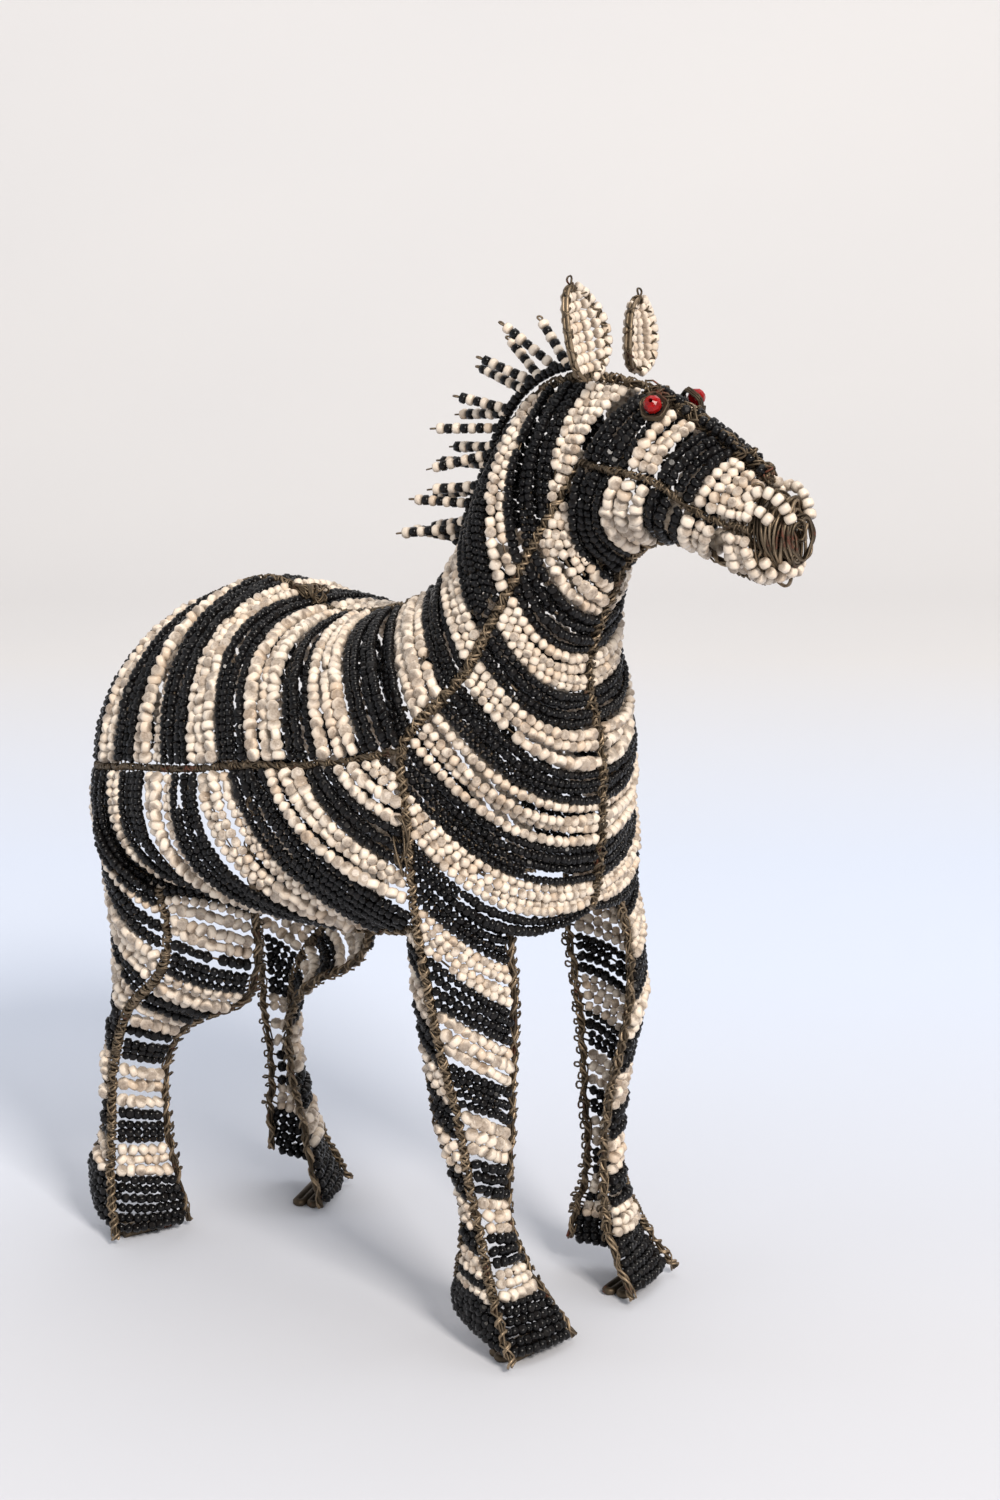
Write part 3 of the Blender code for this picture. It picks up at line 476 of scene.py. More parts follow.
def room(paths):
    """Distance from each sample of every row to the nearest sample of another row."""
    fine = np.stack([at(row, np.linspace(0, lengths(row)[-1], 70)) for row, *_ in paths])
    found = []
    for j, (row, *_) in enumerate(paths):
        others = np.delete(fine, j, axis=0).reshape(-1, 3)
        found.append(np.sqrt(((row[:, None] - others[None]) ** 2).sum(-1).min(axis=1)))
    return found


THIN_WIRES = ("flank", "cheek")


def string_rows(name, sizes, side):
    """One panel: glass on every row, and the wire that carries it with its two ties."""
    fan = FANS[name]
    seed = sum(map(ord, name)) * 2 + (side < 0)
    random = np.random.default_rng(seed)
    lines = SIDE_LINES[side]
    paths, ends = row_paths(fan, lines, random)
    thick = [THIN_WIRE_RADIUS if wire in THIN_WIRES else WIRE_RADIUS for wire in (fan.first, fan.second)]
    ivory = sizes.ivory_bead / UNIT
    black = (sizes.leg_bead if name.startswith(("fore", "thigh")) else sizes.black_bead) / UNIT
    strung = {False: [], True: []}
    wires = []
    near = room(paths)
    for index, ((row, tone, on_first, on_second), (s, t)) in enumerate(zip(paths, ends)):
        tone = bool(tone)
        size = black if tone else ivory
        pitch = size * BEAD_LENGTH[tone]
        total = lengths(row)[-1]
        low = fan.margins[0] if on_first else 0.0
        high = fan.margins[1] if on_second else 0.0
        usable = total - low - high
        count = max(int(round(usable / pitch)), 1)
        s_at = low + usable * (np.arange(count) + 0.5) / count
        half = np.full(count, HALF_GLASS * usable / count)
        if count > 6 and random.random() < MISSING:
            gap = random.integers(2, count - 2)
            s_at = np.delete(s_at, gap)
            half = np.delete(half, gap)
        depth = STAGGER * (-1) ** index
        centres = at(row, s_at) + 0.07 * random.normal(size=(len(s_at), 3))
        centres = centres + depth * np.cross(heading(row, s_at), heading(lines[fan.first], [s]))
        # a bead is as wide as its row has room for there, within limits
        wide = np.clip(1.12 * np.interp(s_at, lengths(row), near[index]), 0.76 * size, 1.17 * size)
        strung[tone].append(np.concatenate(
            [centres, heading(row, s_at), wide[:, None] / 2, half[:, None]], axis=1))
        start = row_end(row, lines[fan.first], s, on_first, fan.ends[0], thick[0], random)
        end = row_end(row[::-1], lines[fan.second], t, on_second, fan.ends[1], thick[1], random)
        middle = at(row, np.linspace(0, total, 7))[1:-1]
        wires.append(np.concatenate([start[::-1], middle, end]))
    bundle = Bundle()
    for tone in (False, True):
        rows = np.concatenate(strung[tone]) if strung[tone] else np.zeros((0, 8))
        turned = place(rows[:, :3] + rows[:, 3:6] * 0.5, side, fan.leg) - place(rows[:, :3], side, fan.leg)
        beads(bundle, place(rows[:, :3], side, fan.leg), turned, rows[:, 6] * UNIT, rows[:, 7] * UNIT,
              tone, seed + 5 + tone)
    # the looped rows are strung on stouter wire
    stout = 1.3 if fan.ends[1] == "loop" else 1.0
    sweep(bundle, place(np.stack(wires), side, fan.leg), sizes.row_wire / 2 * stout, WIRE, sides=3)
    return bundle


def word_of(side):
    return "right" if side > 0 else "left"


def panel(name, sizes, node=None):
    for side in (1, -1):
        made = string_rows(name, sizes, side).object(f"{name}_rows_{word_of(side)}", BEAD_FINISHES)
        if node:
            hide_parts(f"{node}_{word_of(side)}")


# ---------------------------------------------------------------- finishes

class Field:
    """One value of a finish, so that shader maths reads as sums and products."""

    def __init__(self, tree, socket):
        self.tree, self.socket = tree, socket

    def math(self, operation, left, right=None):
        node = self.tree.nodes.new("ShaderNodeMath")
        node.operation = operation
        for port, value in zip(node.inputs, (left, right)):
            if isinstance(value, Field):
                self.tree.links.new(value.socket, port)
            elif value is not None:
                port.default_value = value
        return Field(self.tree, node.outputs[0])

    def __add__(self, other):
        return self.math("ADD", self, other)

    def __radd__(self, other):
        return self.math("ADD", other, self)

    def __sub__(self, other):
        return self.math("SUBTRACT", self, other)

    def __rsub__(self, other):
        return self.math("SUBTRACT", other, self)

    def __mul__(self, other):
        return self.math("MULTIPLY", self, other)

    def __rmul__(self, other):
        return self.math("MULTIPLY", other, self)

    def above(self, edge, width):
        """0 below edge and 1 above edge + width."""
        ramp = (self - edge) * (1.0 / width)
        return self.math("MINIMUM", self.math("MAXIMUM", ramp, 0.0), 1.0)


class Finish:
    """A material's node tree, with one method that adds any node."""

    def __init__(self, name):
        self.material = bpy.data.materials.new(name)
        self.material.use_nodes = True
        self.tree = self.material.node_tree
        self.shader = self.tree.nodes["Principled BSDF"]

    def node(self, kind, settings=None, out=0, **values):
        node = self.tree.nodes.new(kind)
        for key, value in (settings or {}).items():
            setattr(node, key, value)
        for key, value in values.items():
            port = node.inputs[int(key[1:])] if key[1:].isdigit() else node.inputs[key.replace("_", " ")]
            if isinstance(value, Field):
                self.tree.links.new(value.socket, port)
            else:
                port.default_value = value
        return Field(self.tree, node.outputs[out])

    def place(self):
        return self.node("ShaderNodeTexCoord", out=3)

    def noise(self, scale, detail=3.0, rough=0.6):
        return self.node("ShaderNodeTexNoise", Vector=self.place(), Scale=scale, Detail=detail,
                         Roughness=rough)

    def carried(self, name):
        return self.node("ShaderNodeAttribute", {"attribute_name": name}, out=2)

    def mix(self, low, high, share):
        return self.node("ShaderNodeMix", {"data_type": "RGBA"}, out=2, i0=share, i6=low, i7=high)

    def bump(self, height, depth, strength=1.0):
        return self.node("ShaderNodeBump", Height=height, Distance=depth, Strength=strength)

    def set(self, **values):
        for key, value in values.items():
            port = self.shader.inputs[key.replace("_", " ")]
            if isinstance(value, Field):
                self.tree.links.new(value.socket, port)
            else:
                port.default_value = value
        return self.material


# what lies on the glass: warm and old ivory, grime mottled into painted shade at the holes, flecks, and dust
# on the black
WARM, OLD = (0.52, 0.36, 0.23, 1.0), (0.40, 0.27, 0.16, 1.0)
GRIME_AND_SHADE, FLECK, DUST = (0.085, 0.05, 0.03, 1.0), (0.20, 0.13, 0.08, 1.0), (0.040, 0.028, 0.020, 1.0)


def shade(color, factor=1.0):
    return (color[0] * factor, color[1] * factor, color[2] * factor, 1.0)


def ivory_glass(sizes):
    """Chalky ivory glass: each bead a little different, brown where it meets its neighbour, which is painted
    shade mottled with grime, with grimy patches and a fine rough skin."""
    f = Finish("ivory_glass")
    tone, rim, patch = f.carried("tone"), f.carried("rim"), f.noise(90.0, 4.0)
    speck = f.noise(1500.0, 3.0, 0.7)
    body = f.mix(shade(sizes.ivory, 0.80), shade(sizes.ivory, 1.05), tone)
    warm = f.mix(body, WARM, patch.above(0.50, 0.25) * 0.42)
    old = f.mix(warm, OLD, tone.above(0.84, 0.10) * 0.50)
    # painted shade: the bead ends turn dark brown where the beads meet, mottled with grime
    dirt_and_shade = f.mix(old, GRIME_AND_SHADE, rim.above(0.50, 0.55) * (speck.above(0.35, 0.3) * 0.35 + 0.50))
    flecks = f.mix(dirt_and_shade, FLECK, speck.above(0.66, 0.06) * 0.45)
    return f.set(Base_Color=flecks, Roughness=0.34 + 0.25 * patch, Coat_Weight=0.25, Coat_Roughness=0.25,
                 Specular_IOR_Level=0.45, Normal=f.bump(speck, 0.00012, 0.6))


def black_glass(sizes):
    """Glossy black glass with dust that dulls some beads."""
    f = Finish("black_glass")
    tone, rim, patch = f.carried("tone"), f.carried("rim"), f.noise(110.0, 4.0)
    speck = f.noise(1300.0, 3.0, 0.7)
    body = f.mix(shade(sizes.black), shade(sizes.black, 2.2), tone)
    dust = f.mix(body, DUST, speck.above(0.58, 0.16) * 0.16 + rim.above(0.8, 0.4) * 0.14)
    return f.set(Base_Color=dust, Roughness=0.12 + 0.22 * patch + 0.10 * tone, Coat_Weight=0.0,
                 Specular_IOR_Level=0.24, Normal=f.bump(speck, 0.00005, 0.5))


METALS = {
    # finish: its share of the wire's colour, and the share of it that rusts
    "row_wire": (1.0, 0.36),
    "frame_wire": (0.75, 0.42),
    # painted light: bright_wire is the wire's colour made lighter, standing in for the highlights on lit
    # wire
    "bright_wire": (1.55, 0.34),
    "dark_wire": (0.45, 0.46),
}


def metal(name, sizes):
    """Drawn wire gone dull: brown oxide in patches, red rust where it sat wet, less metallic there."""
    f = Finish(name)
    lightness, share = METALS[name]
    color = shade(sizes.wire, lightness)
    tone, patch, speck = f.carried("tone"), f.noise(160.0, 4.0, 0.65), f.noise(1800.0, 3.0, 0.7)
    body = f.mix(shade(color, 0.62), shade(color, 1.35), tone)
    brown = f.mix(body, shade(color, 0.42), patch.above(0.42, 0.22) * 0.8)
    red = patch.above(1.0 - share, 0.10) * speck.above(0.36, 0.2)
    rusty = f.mix(brown, shade(sizes.rust), red)
    return f.set(Base_Color=rusty, Metallic=0.85 - red * 0.75, Roughness=0.36 + 0.30 * patch + 0.2 * red,
                 Normal=f.bump(speck, 0.00008, 0.7))


def red_glass(sizes):
    """Pressed red glass with darker streaks."""
    f = Finish("eye_glass")
    streak, speck = f.noise(500.0, 2.0), f.noise(1400.0, 3.0)
    dark = streak.above(0.40, 0.30) * 0.6 + speck.above(0.55, 0.1) * 0.3
    body = f.mix(shade(sizes.eye), shade(sizes.eye, 0.30), dark)
    return f.set(Base_Color=body, Roughness=0.10 + 0.08 * streak, Coat_Weight=0.0, Specular_IOR_Level=0.30)


# the camera looks from this side and height, at a real lens; the stage is square to it
CAMERA_SIDE, CAMERA_HEIGHT = math.radians(36), math.radians(13)
CAMERA_PLACE = (0.4055, -0.5252, 0.2889)
CAMERA_LENS = 67.2
BEHIND = (-math.sin(CAMERA_SIDE), math.cos(CAMERA_SIDE))
FLOOR_RUN, COVE, WALL_HEIGHT, HALF_WIDTH = 1.0, 0.9, 3.5, 9.0
ROOM_COLOR = (0.98, 0.98, 1.0, 1.0)
ROOM_LIGHT, ROOM_DIMMED = 0.86, -0.66
LIGHTS = {
    # place, aim, size, power, colour
    "key": ((2.40, -1.23, 2.15), (0, 0, 0.12), 0.74, 115.0, (1.0, 0.93, 0.85)),
    "fill": ((-0.9, -0.9, 0.7), (0, 0, 0.12), 1.2, 3.0, (0.86, 0.93, 1.0)),
    "top": ((0.0, 0.3, 1.4), (0, 0, 0.1), 1.2, 5.0, (1.0, 1.0, 1.0)),
}


def stage_paint(sizes):
    """Pale floor that turns bluer away from the figurine, a painted bluish light, and warmer as the backdrop
    rises, with painted shade low on the backdrop.
    """
    f = Finish("stage_paint")
    x, y, height = (f.node("ShaderNodeSeparateXYZ", out=k, Vector=f.place()) for k in range(3))
    soft = f.noise(3.0, 2.0)
    away = y * BEHIND[1] + x * BEHIND[0]
    # painted light: the floor grows lighter and bluer away from the figurine
    far = (sizes.floor[0] * 1.03, sizes.floor[1] * 1.12, sizes.floor[2] * 1.25, 1.0)
    ground = f.mix(shade(sizes.floor), far, away.above(-0.05, 0.30))
    # painted shade: the backdrop is darker low down and lighter higher up
    wall = f.mix(shade(sizes.backdrop, 0.90), shade(sizes.backdrop), height.above(0.10, 0.60))
    color = f.mix(ground, wall, away.above(0.40, 0.40))
    return f.set(Base_Color=f.mix(color, shade(sizes.floor, 0.93), soft * 0.25), Roughness=0.75 + 0.1 * soft)


FINISHES = {"ivory_glass": ivory_glass, "black_glass": black_glass, "red_glass": red_glass,
            "stage_paint": stage_paint}
MADE = {}


def finish_named(name):
    if name not in MADE:
        sizes = bpy.context.scene.zebra_sizes
        MADE[name] = metal(name, sizes) if name in METALS else FINISHES[name](sizes)
    return MADE[name]


# ---------------------------------------------------------------- other pieces

def coil_path(line, radius, pitch, phase=0.0, hand=1, per_turn=9, wobble=0.0, seed=0):
    """Helix round a line: line(s) + radius (cos q across + sin q up), with q = 2 pi s / pitch + phase."""
    total = lengths(line)[-1]
    count = max(int(total / pitch * per_turn), 8)
    s = np.linspace(0, total, count)
    centre = at(line, s)
    tangent = heading(line, s)
    across = square_to(tangent)
    up = np.cross(tangent, across)
    random = np.random.default_rng(seed)
    slow = np.interp(s, np.linspace(0, total, 12), random.normal(size=12))
    angle = hand * (2 * np.pi * s / pitch) + phase + 0.5 * slow * wobble
    r = radius * (1 + 0.10 * wobble * np.sin(3.7 * angle + phase))
    r = np.reshape(r, (-1, 1))
    return centre + r * (np.cos(angle)[:, None] * across + np.sin(angle)[:, None] * up)


def tangle(centre, size, turns, seed, count=70):
    """A loose knot: three sines of unlike speeds, one for each direction, about a centre."""
    random = np.random.default_rng(seed)
    t = np.linspace(0, 1, count)[:, None]
    speed = turns * (1 + 0.35 * random.random(3))
    return np.asarray(centre) + np.asarray(size) * np.sin(2 * np.pi * (speed * t + random.random(3)))


BRAIDS = {
    # line: (radius of the core's two wires, their diameter, radius of the lashing, its pitch)
    "ridge": (0.36, 0.72, 0.95, 3.4), "topline": (0.32, 0.70, 0.80, 5.0),
    "hind_ridge": (0.36, 0.72, 0.95, 3.8), "cheek": (0.22, 0.46, 0.50, 5.0),
    "flank": (0.24, 0.50, 0.58, 6.0), "belly": (0.36, 0.75, 0.85, 5.0), "throat": (0.34, 0.70, 0.80, 5.0),
    "hind_rear": (0.42, 0.85, 0.85, 6.0), "fore_rear": (0.42, 0.85, 0.85, 6.0),
    "fore_front": (0.42, 0.85, 0.85, 7.0), "hind_front": (0.42, 0.85, 0.85, 7.0),
}
REACHES_TOE = ("ridge", "fore_front", "hind_ridge", "hind_front")
MIDDLE_WIRES = ("topline", "throat")
CORE_PITCH = 14.0
COILS = ((1, 1.0, 1.25), (1, 1.17, 1.05), (-1, 2.3, 0.85))


def lashing(name, side, strand):
    """A frame wire as it is made: two wires twisted on each other and bound by two more in slanted
    turns, with one slack strand that runs across them the other way. COILS gives each strand's
    hand, its pitch and its diameter, as shares of the lashing's own."""
    core, thick, radius, pitch = BRAIDS[name]
    line = SIDE_LINES[side][name]
    leg = name in HIND_LINES
    if name in REACHES_TOE:
        line = np.concatenate([line, line[-1:] + 1.8 * heading(line, lengths(line)[-1:] - 1.0)])
    bundle = Bundle()
    for phase in (0.0, np.pi):
        # painted shade: the twisted core takes a low tone of the darker finish, dark beneath the turns
        path = coil_path(line, core, CORE_PITCH, phase, 1, 9, 0.25, seed=int(phase))
        sweep(bundle, place(path, side, leg), thick / 2 * UNIT, 0, sides=6, tone=0.15)
    # painted light: the turns take the lightened finish, except on the thin wires
    slot = 0 if name in THIN_WIRES else 1
    for k, (hand, stretch, width) in enumerate(COILS):
        path = coil_path(line, radius + 0.12 * k, pitch * stretch, 1.9 * k, hand, 7, 1.2, seed=k + 3)
        sweep(bundle, place(path, side, leg), strand / 2 * width, slot, sides=5, tone=0.95 - 0.35 * k)
    return bundle


def mane_quills():
    """Roots and directions of the mane's quills, by the frame's own rule."""
    top = LINES["topline"]
    t = lengths(top)
    start, end = (t[np.argmin(np.linalg.norm(top - point, axis=1))] for point in MANE_ENDS)
    part = at(top, np.linspace(start, end, 60))
    tangent = unit(np.gradient(part, axis=0))
    away = unit(np.cross(tangent, (0.0, 1.0, 0.0)))
    away = away * np.sign(-away[:, :1])
    row = part + away * CREST_LIFT
    k = np.arange(QUILLS)
    i = ((k + 0.5 + 0.38 * np.sin(2.1 * k + 0.5)) / QUILLS * 59).astype(int)
    lean = (-1.0) ** k * (0.12 + 0.20 * ((k * 7) % 5) / 4)
    reach = QUILL_REACH + 2.0 * np.sin(2.2 * k)
    fall = QUILL_FALL + 0.18 * np.sin(2.3 * k + 1.0)
    way = unit(away[i] + tangent[i] * fall[:, None] + lean[:, None] * np.array([0.0, 1.0, 0.0]))
    return row, row[i], way, reach


def ear_loop(turn, side):
    """The ear's rim by the frame's own rule, and its directions."""
    base, tip = np.array(EAR_BASE), np.array(EAR_TIPS[side])
    rise = unit(tip - base)
    across = unit(np.array([0.06, 1.0, 0.10]))
    across = unit(across - rise * (across @ rise))
    face = np.cross(across, rise)
    face = face * np.sign(face[0])
    height = np.linalg.norm(tip - base)
    base = base + rise * 2.9
    up = height * 0.5 * (1 - np.cos(turn))
    wide = EAR_HALF_WIDTH * np.sin(turn) * (0.86 + 0.20 * np.cos(turn - np.pi * 0.2))
    dish = 1.6 * (1 - (wide / EAR_HALF_WIDTH) ** 2)
    loop = base + up[:, None] * rise + wide[:, None] * across - dish[:, None] * face
    return loop, face, rise


class ZebraSizes(bpy.types.PropertyGroup):
    """Sizes and colours that a user would change."""

    ivory_bead: bpy.props.FloatProperty(
        name="Ivory bead", description="Diameter of an ivory bead", default=0.00290, min=0.001,
        unit="LENGTH", subtype="DISTANCE")
    black_bead: bpy.props.FloatProperty(
        name="Black bead", description="Diameter of a black bead on the body", default=0.00225, min=0.001,
        unit="LENGTH", subtype="DISTANCE")
    leg_bead: bpy.props.FloatProperty(
        name="Leg bead", description="Diameter of a black bead on the legs and hooves", default=0.00260,
        min=0.001, unit="LENGTH", subtype="DISTANCE")
    row_wire: bpy.props.FloatProperty(
        name="Row wire", description="Diameter of the wire through the beads", default=0.00050, min=0.0002,
        unit="LENGTH", subtype="DISTANCE")
    strand: bpy.props.FloatProperty(
        name="Lashing wire", description="Diameter of the wire wound round the frame", default=0.00058,
        min=0.0002, unit="LENGTH", subtype="DISTANCE")
    ivory: bpy.props.FloatVectorProperty(
        name="Ivory", description="Colour of the ivory glass", default=(0.75, 0.645, 0.53), size=3,
        min=0.0, max=1.0, subtype="COLOR")
    black: bpy.props.FloatVectorProperty(
        name="Black", description="Colour of the black glass", default=(0.0022, 0.0021, 0.0024), size=3,
        min=0.0, max=1.0, subtype="COLOR")
    wire: bpy.props.FloatVectorProperty(
        name="Wire", description="Colour of the wire's metal", default=(0.185, 0.140, 0.094), size=3,
        min=0.0, max=1.0, subtype="COLOR")
    rust: bpy.props.FloatVectorProperty(
        name="Rust", description="Colour of the rust", default=(0.16, 0.035, 0.015), size=3,
        min=0.0, max=1.0, subtype="COLOR")
    eye: bpy.props.FloatVectorProperty(
        name="Eye", description="Colour of the eye bead", default=(0.30, 0.003, 0.004), size=3,
        min=0.0, max=1.0, subtype="COLOR")
    floor: bpy.props.FloatVectorProperty(
        name="Floor", description="Colour of the floor", default=(0.527, 0.535, 0.568), size=3,
        min=0.0, max=1.0, subtype="COLOR")
    backdrop: bpy.props.FloatVectorProperty(
        name="Backdrop", description="Colour of the backdrop", default=(0.695, 0.680, 0.672), size=3,
        min=0.0, max=1.0, subtype="COLOR")


class ZEBRA_OT_torso(bpy.types.Operator):
    """Strings the rows of the neck, back, flanks, haunches and chest"""

    bl_idname = "zebra.torso"
    bl_label = "Torso rows"

    def execute(self, context):
        sizes = context.scene.zebra_sizes
        for name in ("neck", "back", "flank", "chest"):
            panel(name, sizes, name + "_panel")
        panel("haunch", sizes)
        return {"FINISHED"}


class ZEBRA_OT_head(bpy.types.Operator):
    """Strings the rows of the face, jaw and chin"""

    bl_idname = "zebra.head"
    bl_label = "Head rows"

    def execute(self, context):
        sizes = context.scene.zebra_sizes
        panel("face", sizes, "face_panel")
        panel("jaw", sizes, "jaw_panel")
        panel("chin", sizes)
        return {"FINISHED"}


class ZEBRA_OT_legs(bpy.types.Operator):
    """Strings the rows of the four legs"""

    bl_idname = "zebra.legs"
    bl_label = "Leg rows"

    def execute(self, context):
        sizes = context.scene.zebra_sizes
        for name in ("fore_front", "fore_side", "thigh_front", "thigh_side"):
            panel(name, sizes, name + "_panel")
        return {"FINISHED"}


HOOVES = {
    # rear, ridge and front wire, with the lengths of the top and bottom row on each
    "fore": (("fore_rear", 88.0, 97.0), ("ridge", 212.5, 227.5), ("fore_front", 93.0, 106.0), False),
    "hind": (("hind_rear", 101.0, 114.0), ("hind_ridge", 92.5, 109.0), ("hind_front", 101.5, 116.0), True),
}
HOOF_ROWS = 6
HOOF_ROUNDING = 0.07


class ZEBRA_OT_hooves(bpy.types.Operator):
    """Strings the black rows of the hooves, each round the inside of the ridge wire"""

    bl_idname = "zebra.hooves"
    bl_label = "Hoof rows"

    def execute(self, context):
        sizes = context.scene.zebra_sizes
        size = sizes.leg_bead / UNIT
        for name, (rear, ridge, front, leg) in HOOVES.items():
            share = (np.arange(HOOF_ROWS) + 0.5) / HOOF_ROWS
            for side in (1, -1):
                a, b, c = (at(SIDE_LINES[side][w], low + (high - low) * share)
                           for w, low, high in (rear, ridge, front))
                inward = unit(unit(a - b) + unit(c - b))
                corner = b + inward * (WIRE_RADIUS + 0.8)
                # the rows' ends pass outside the rear and front wires; the middle rows reach furthest
                belly = (1.9 * np.sin(np.pi * (0.15 + 0.85 * share)) - 0.6)[:, None]
                a = a + unit(a - corner) * belly - inward * (WIRE_RADIUS + 0.5)
                c = c + unit(c - corner) * belly - inward * (WIRE_RADIUS + 0.5)
                v = np.linspace(0, 1, 2 * SAMPLES)[None, :, None]
                # a bent row: two straight runs that meet at the corner, rounded by a share of the curve
                bent = np.where(v < 0.5, a[:, None] * (1 - 2 * v) + corner[:, None] * 2 * v,
                                corner[:, None] * (2 - 2 * v) + c[:, None] * (2 * v - 1))
                curve = a[:, None] * (1 - v) ** 2 + 2 * corner[:, None] * v * (1 - v) + c[:, None] * v**2
                rows = (1 - HOOF_ROUNDING) * bent + HOOF_ROUNDING * curve
                # each half bows outwards, the outer half by the whole bulge
                bow = np.where(v < 0.5, 1.0, 0.6) * np.abs(np.sin(2 * np.pi * v)) * HOOF_BULGE
                rows = rows - bow * inward[:, None]
                random = np.random.default_rng(len(name) + side + 40)
                bundle = Bundle()
                for row in rows:
                    total = lengths(row)[-1]
                    usable = total - 0.6
                    count = int(round(usable / (size * 0.80)))
                    s_at = 0.3 + usable * (np.arange(count) + 0.5) / count
                    centres = at(row, s_at) + 0.10 * random.normal(size=(count, 3))
                    turned = place(centres + heading(row, s_at), side, leg) - place(centres, side, leg)
                    beads(bundle, place(centres, side, leg), turned, size / 2 * UNIT,
                          HALF_GLASS * usable / count * UNIT, True, int(random.integers(1e6)))
                sweep(bundle, place(rows, side, leg), sizes.row_wire / 2, WIRE, sides=3)
                made = bundle.object(f"{name}_hoof_rows_{word_of(side)}", BEAD_FINISHES)
                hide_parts(f"{name}_hoof_{word_of(side)}")
        return {"FINISHED"}


BRIDGE = (208, 246)
BRIDGE_STRAYS = 18


class ZEBRA_OT_lashing(bpy.types.Operator):
    """Winds the thin wires round the frame wires, the nose bridge and the knots"""

    bl_idname = "zebra.lashing"
    bl_label = "Lashings"

    def execute(self, context):
        sizes = context.scene.zebra_sizes
        for name in BRAIDS:
            for side in ((1,) if name in MIDDLE_WIRES else (1, -1)):
                made = lashing(name, side, sizes.strand).object(
                    f"{name}_lashing_{word_of(side)}", ("frame_wire", "bright_wire"))
                end = "" if name in MIDDLE_WIRES else "_" + word_of(side)
                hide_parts(f"{name}_wire" + end)
        self.bridge(sizes)
        return {"FINISHED"}

    def bridge(self, sizes):
        """The bridge of the face: eight coils, loose curls, two short rows of black beads and
        strays among them, with knots at the rump and at the shoulder."""
        bundle = Bundle()
        top = LINES["topline"]
        bridge = at(top, np.linspace(*BRIDGE, 300))
        random = np.random.default_rng(3)
        for k in range(8):
            hand = 1 if k % 2 else -1
            path = coil_path(bridge, 1.3 + 0.10 * k, 5.0 + 1.1 * k, 0.7 * k, hand, 9, 1.6, seed=k)
            sweep(bundle, place(path, 1), sizes.strand / 2, 0, tone=0.3 + 0.08 * k)
        for k in range(16):
            centre = at(top, 210.0 + 36 * random.random())
            centre = centre + 1.2 * random.normal(size=3) * (0.5, 1.0, 0.4)
            sweep(bundle, place(tangle(centre, (2.2, 1.6, 1.2), 1.6, 200 + k, 30), 1), sizes.strand / 2, 0)
        strays = 211 + 34 * random.random(BRIDGE_STRAYS)
        left, right = np.arange(226.0, 240.0, 2.0), np.arange(227.0, 239.0, 2.0)
        s_at = np.concatenate([left, right, strays])
        wide = np.concatenate([np.full(len(left), -1.5), np.full(len(right), 1.5),
                               random.uniform(-2.4, 2.4, BRIDGE_STRAYS)])
        spots = at(top, s_at) + np.stack([0 * s_at, wide, 1.3 - 0.2 * np.abs(wide)], axis=1)
        strung = np.arange(len(s_at))[:, None] < len(left) + len(right)
        axes = np.where(strung, heading(top, s_at), unit(random.normal(size=(len(s_at), 3))))
        beads(bundle, place(spots, 1), axes, 1.15 * UNIT, 0.90 * UNIT, True, 31)
        for k in range(5):
            centre = at(top, 79.0) + np.array([0.9 * k - 1.5, 0, 1.6])
            sweep(bundle, place(tangle(centre, (2.4, 2.2, 2.0), 3, 60 + k), 1), sizes.strand / 2, 0)
        curl = at(LINES["ridge"], 96.0) + np.array([-1.0, -1.0, 0.0])
        for k in range(3):
            sweep(bundle, place(tangle(curl + (0, -0.6 * k, -2.5 * k), (2.2, 1.6, 4.2), 1.2, 90 + k, 40), 1),
                  sizes.strand / 2, 0)
        bundle.object("bridge_lashing", ("frame_wire", "black_glass"))


# radii of the mane's black and ivory beads, and how far apart a quill's beads are
QUILL_BEAD = {True: 1.25, False: 1.32}
QUILL_PITCH = 1.95


class ZEBRA_OT_mane(bpy.types.Operator):
    """Strings the crest row and the quills of the mane, each quill ended by a small wire loop"""

    bl_idname = "zebra.mane"
    bl_label = "Mane"

    def execute(self, context):
        sizes = context.scene.zebra_sizes
        crest, roots, way, reach = mane_quills()
        bundle = Bundle()
        total = lengths(crest)[-1]
        string(bundle, crest, np.arange(0.8, total, 1.75), QUILL_BEAD[True], 0.84, True, 11)
        for k in range(QUILLS):
            count = int(round(reach[k] / QUILL_PITCH))
            step = reach[k] / count
            share = (np.arange(count) + 0.5) * step
            centres = roots[k] + way[k] * share[:, None]
            for tone in (False, True):
                pick = (np.arange(count) + k) % 2 == (1 if tone else 0)
                beads(bundle, place(centres[pick], 1), np.repeat(way[k][None], pick.sum(), 0),
                      QUILL_BEAD[tone] * UNIT, step * 0.49 * UNIT, tone, 20 + k + 50 * tone)
            u = np.linspace(0, 1, 9)[:, None]
            side = square_to(way[k][None])[0]
            tip = roots[k] + way[k] * reach[k]
            loop = tip + way[k] * 1.6 * np.sin(np.pi * u) + side * 0.7 * np.sin(2 * np.pi * u)
            sweep(bundle, place(np.concatenate([roots[k][None], loop]), 1), sizes.row_wire / 2, WIRE)
        made = bundle.object("mane_rows", BEAD_FINISHES)
        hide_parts("mane")
        return {"FINISHED"}


EAR_FINISHES = ("ivory_glass", "black_glass", "bright_wire", "frame_wire")


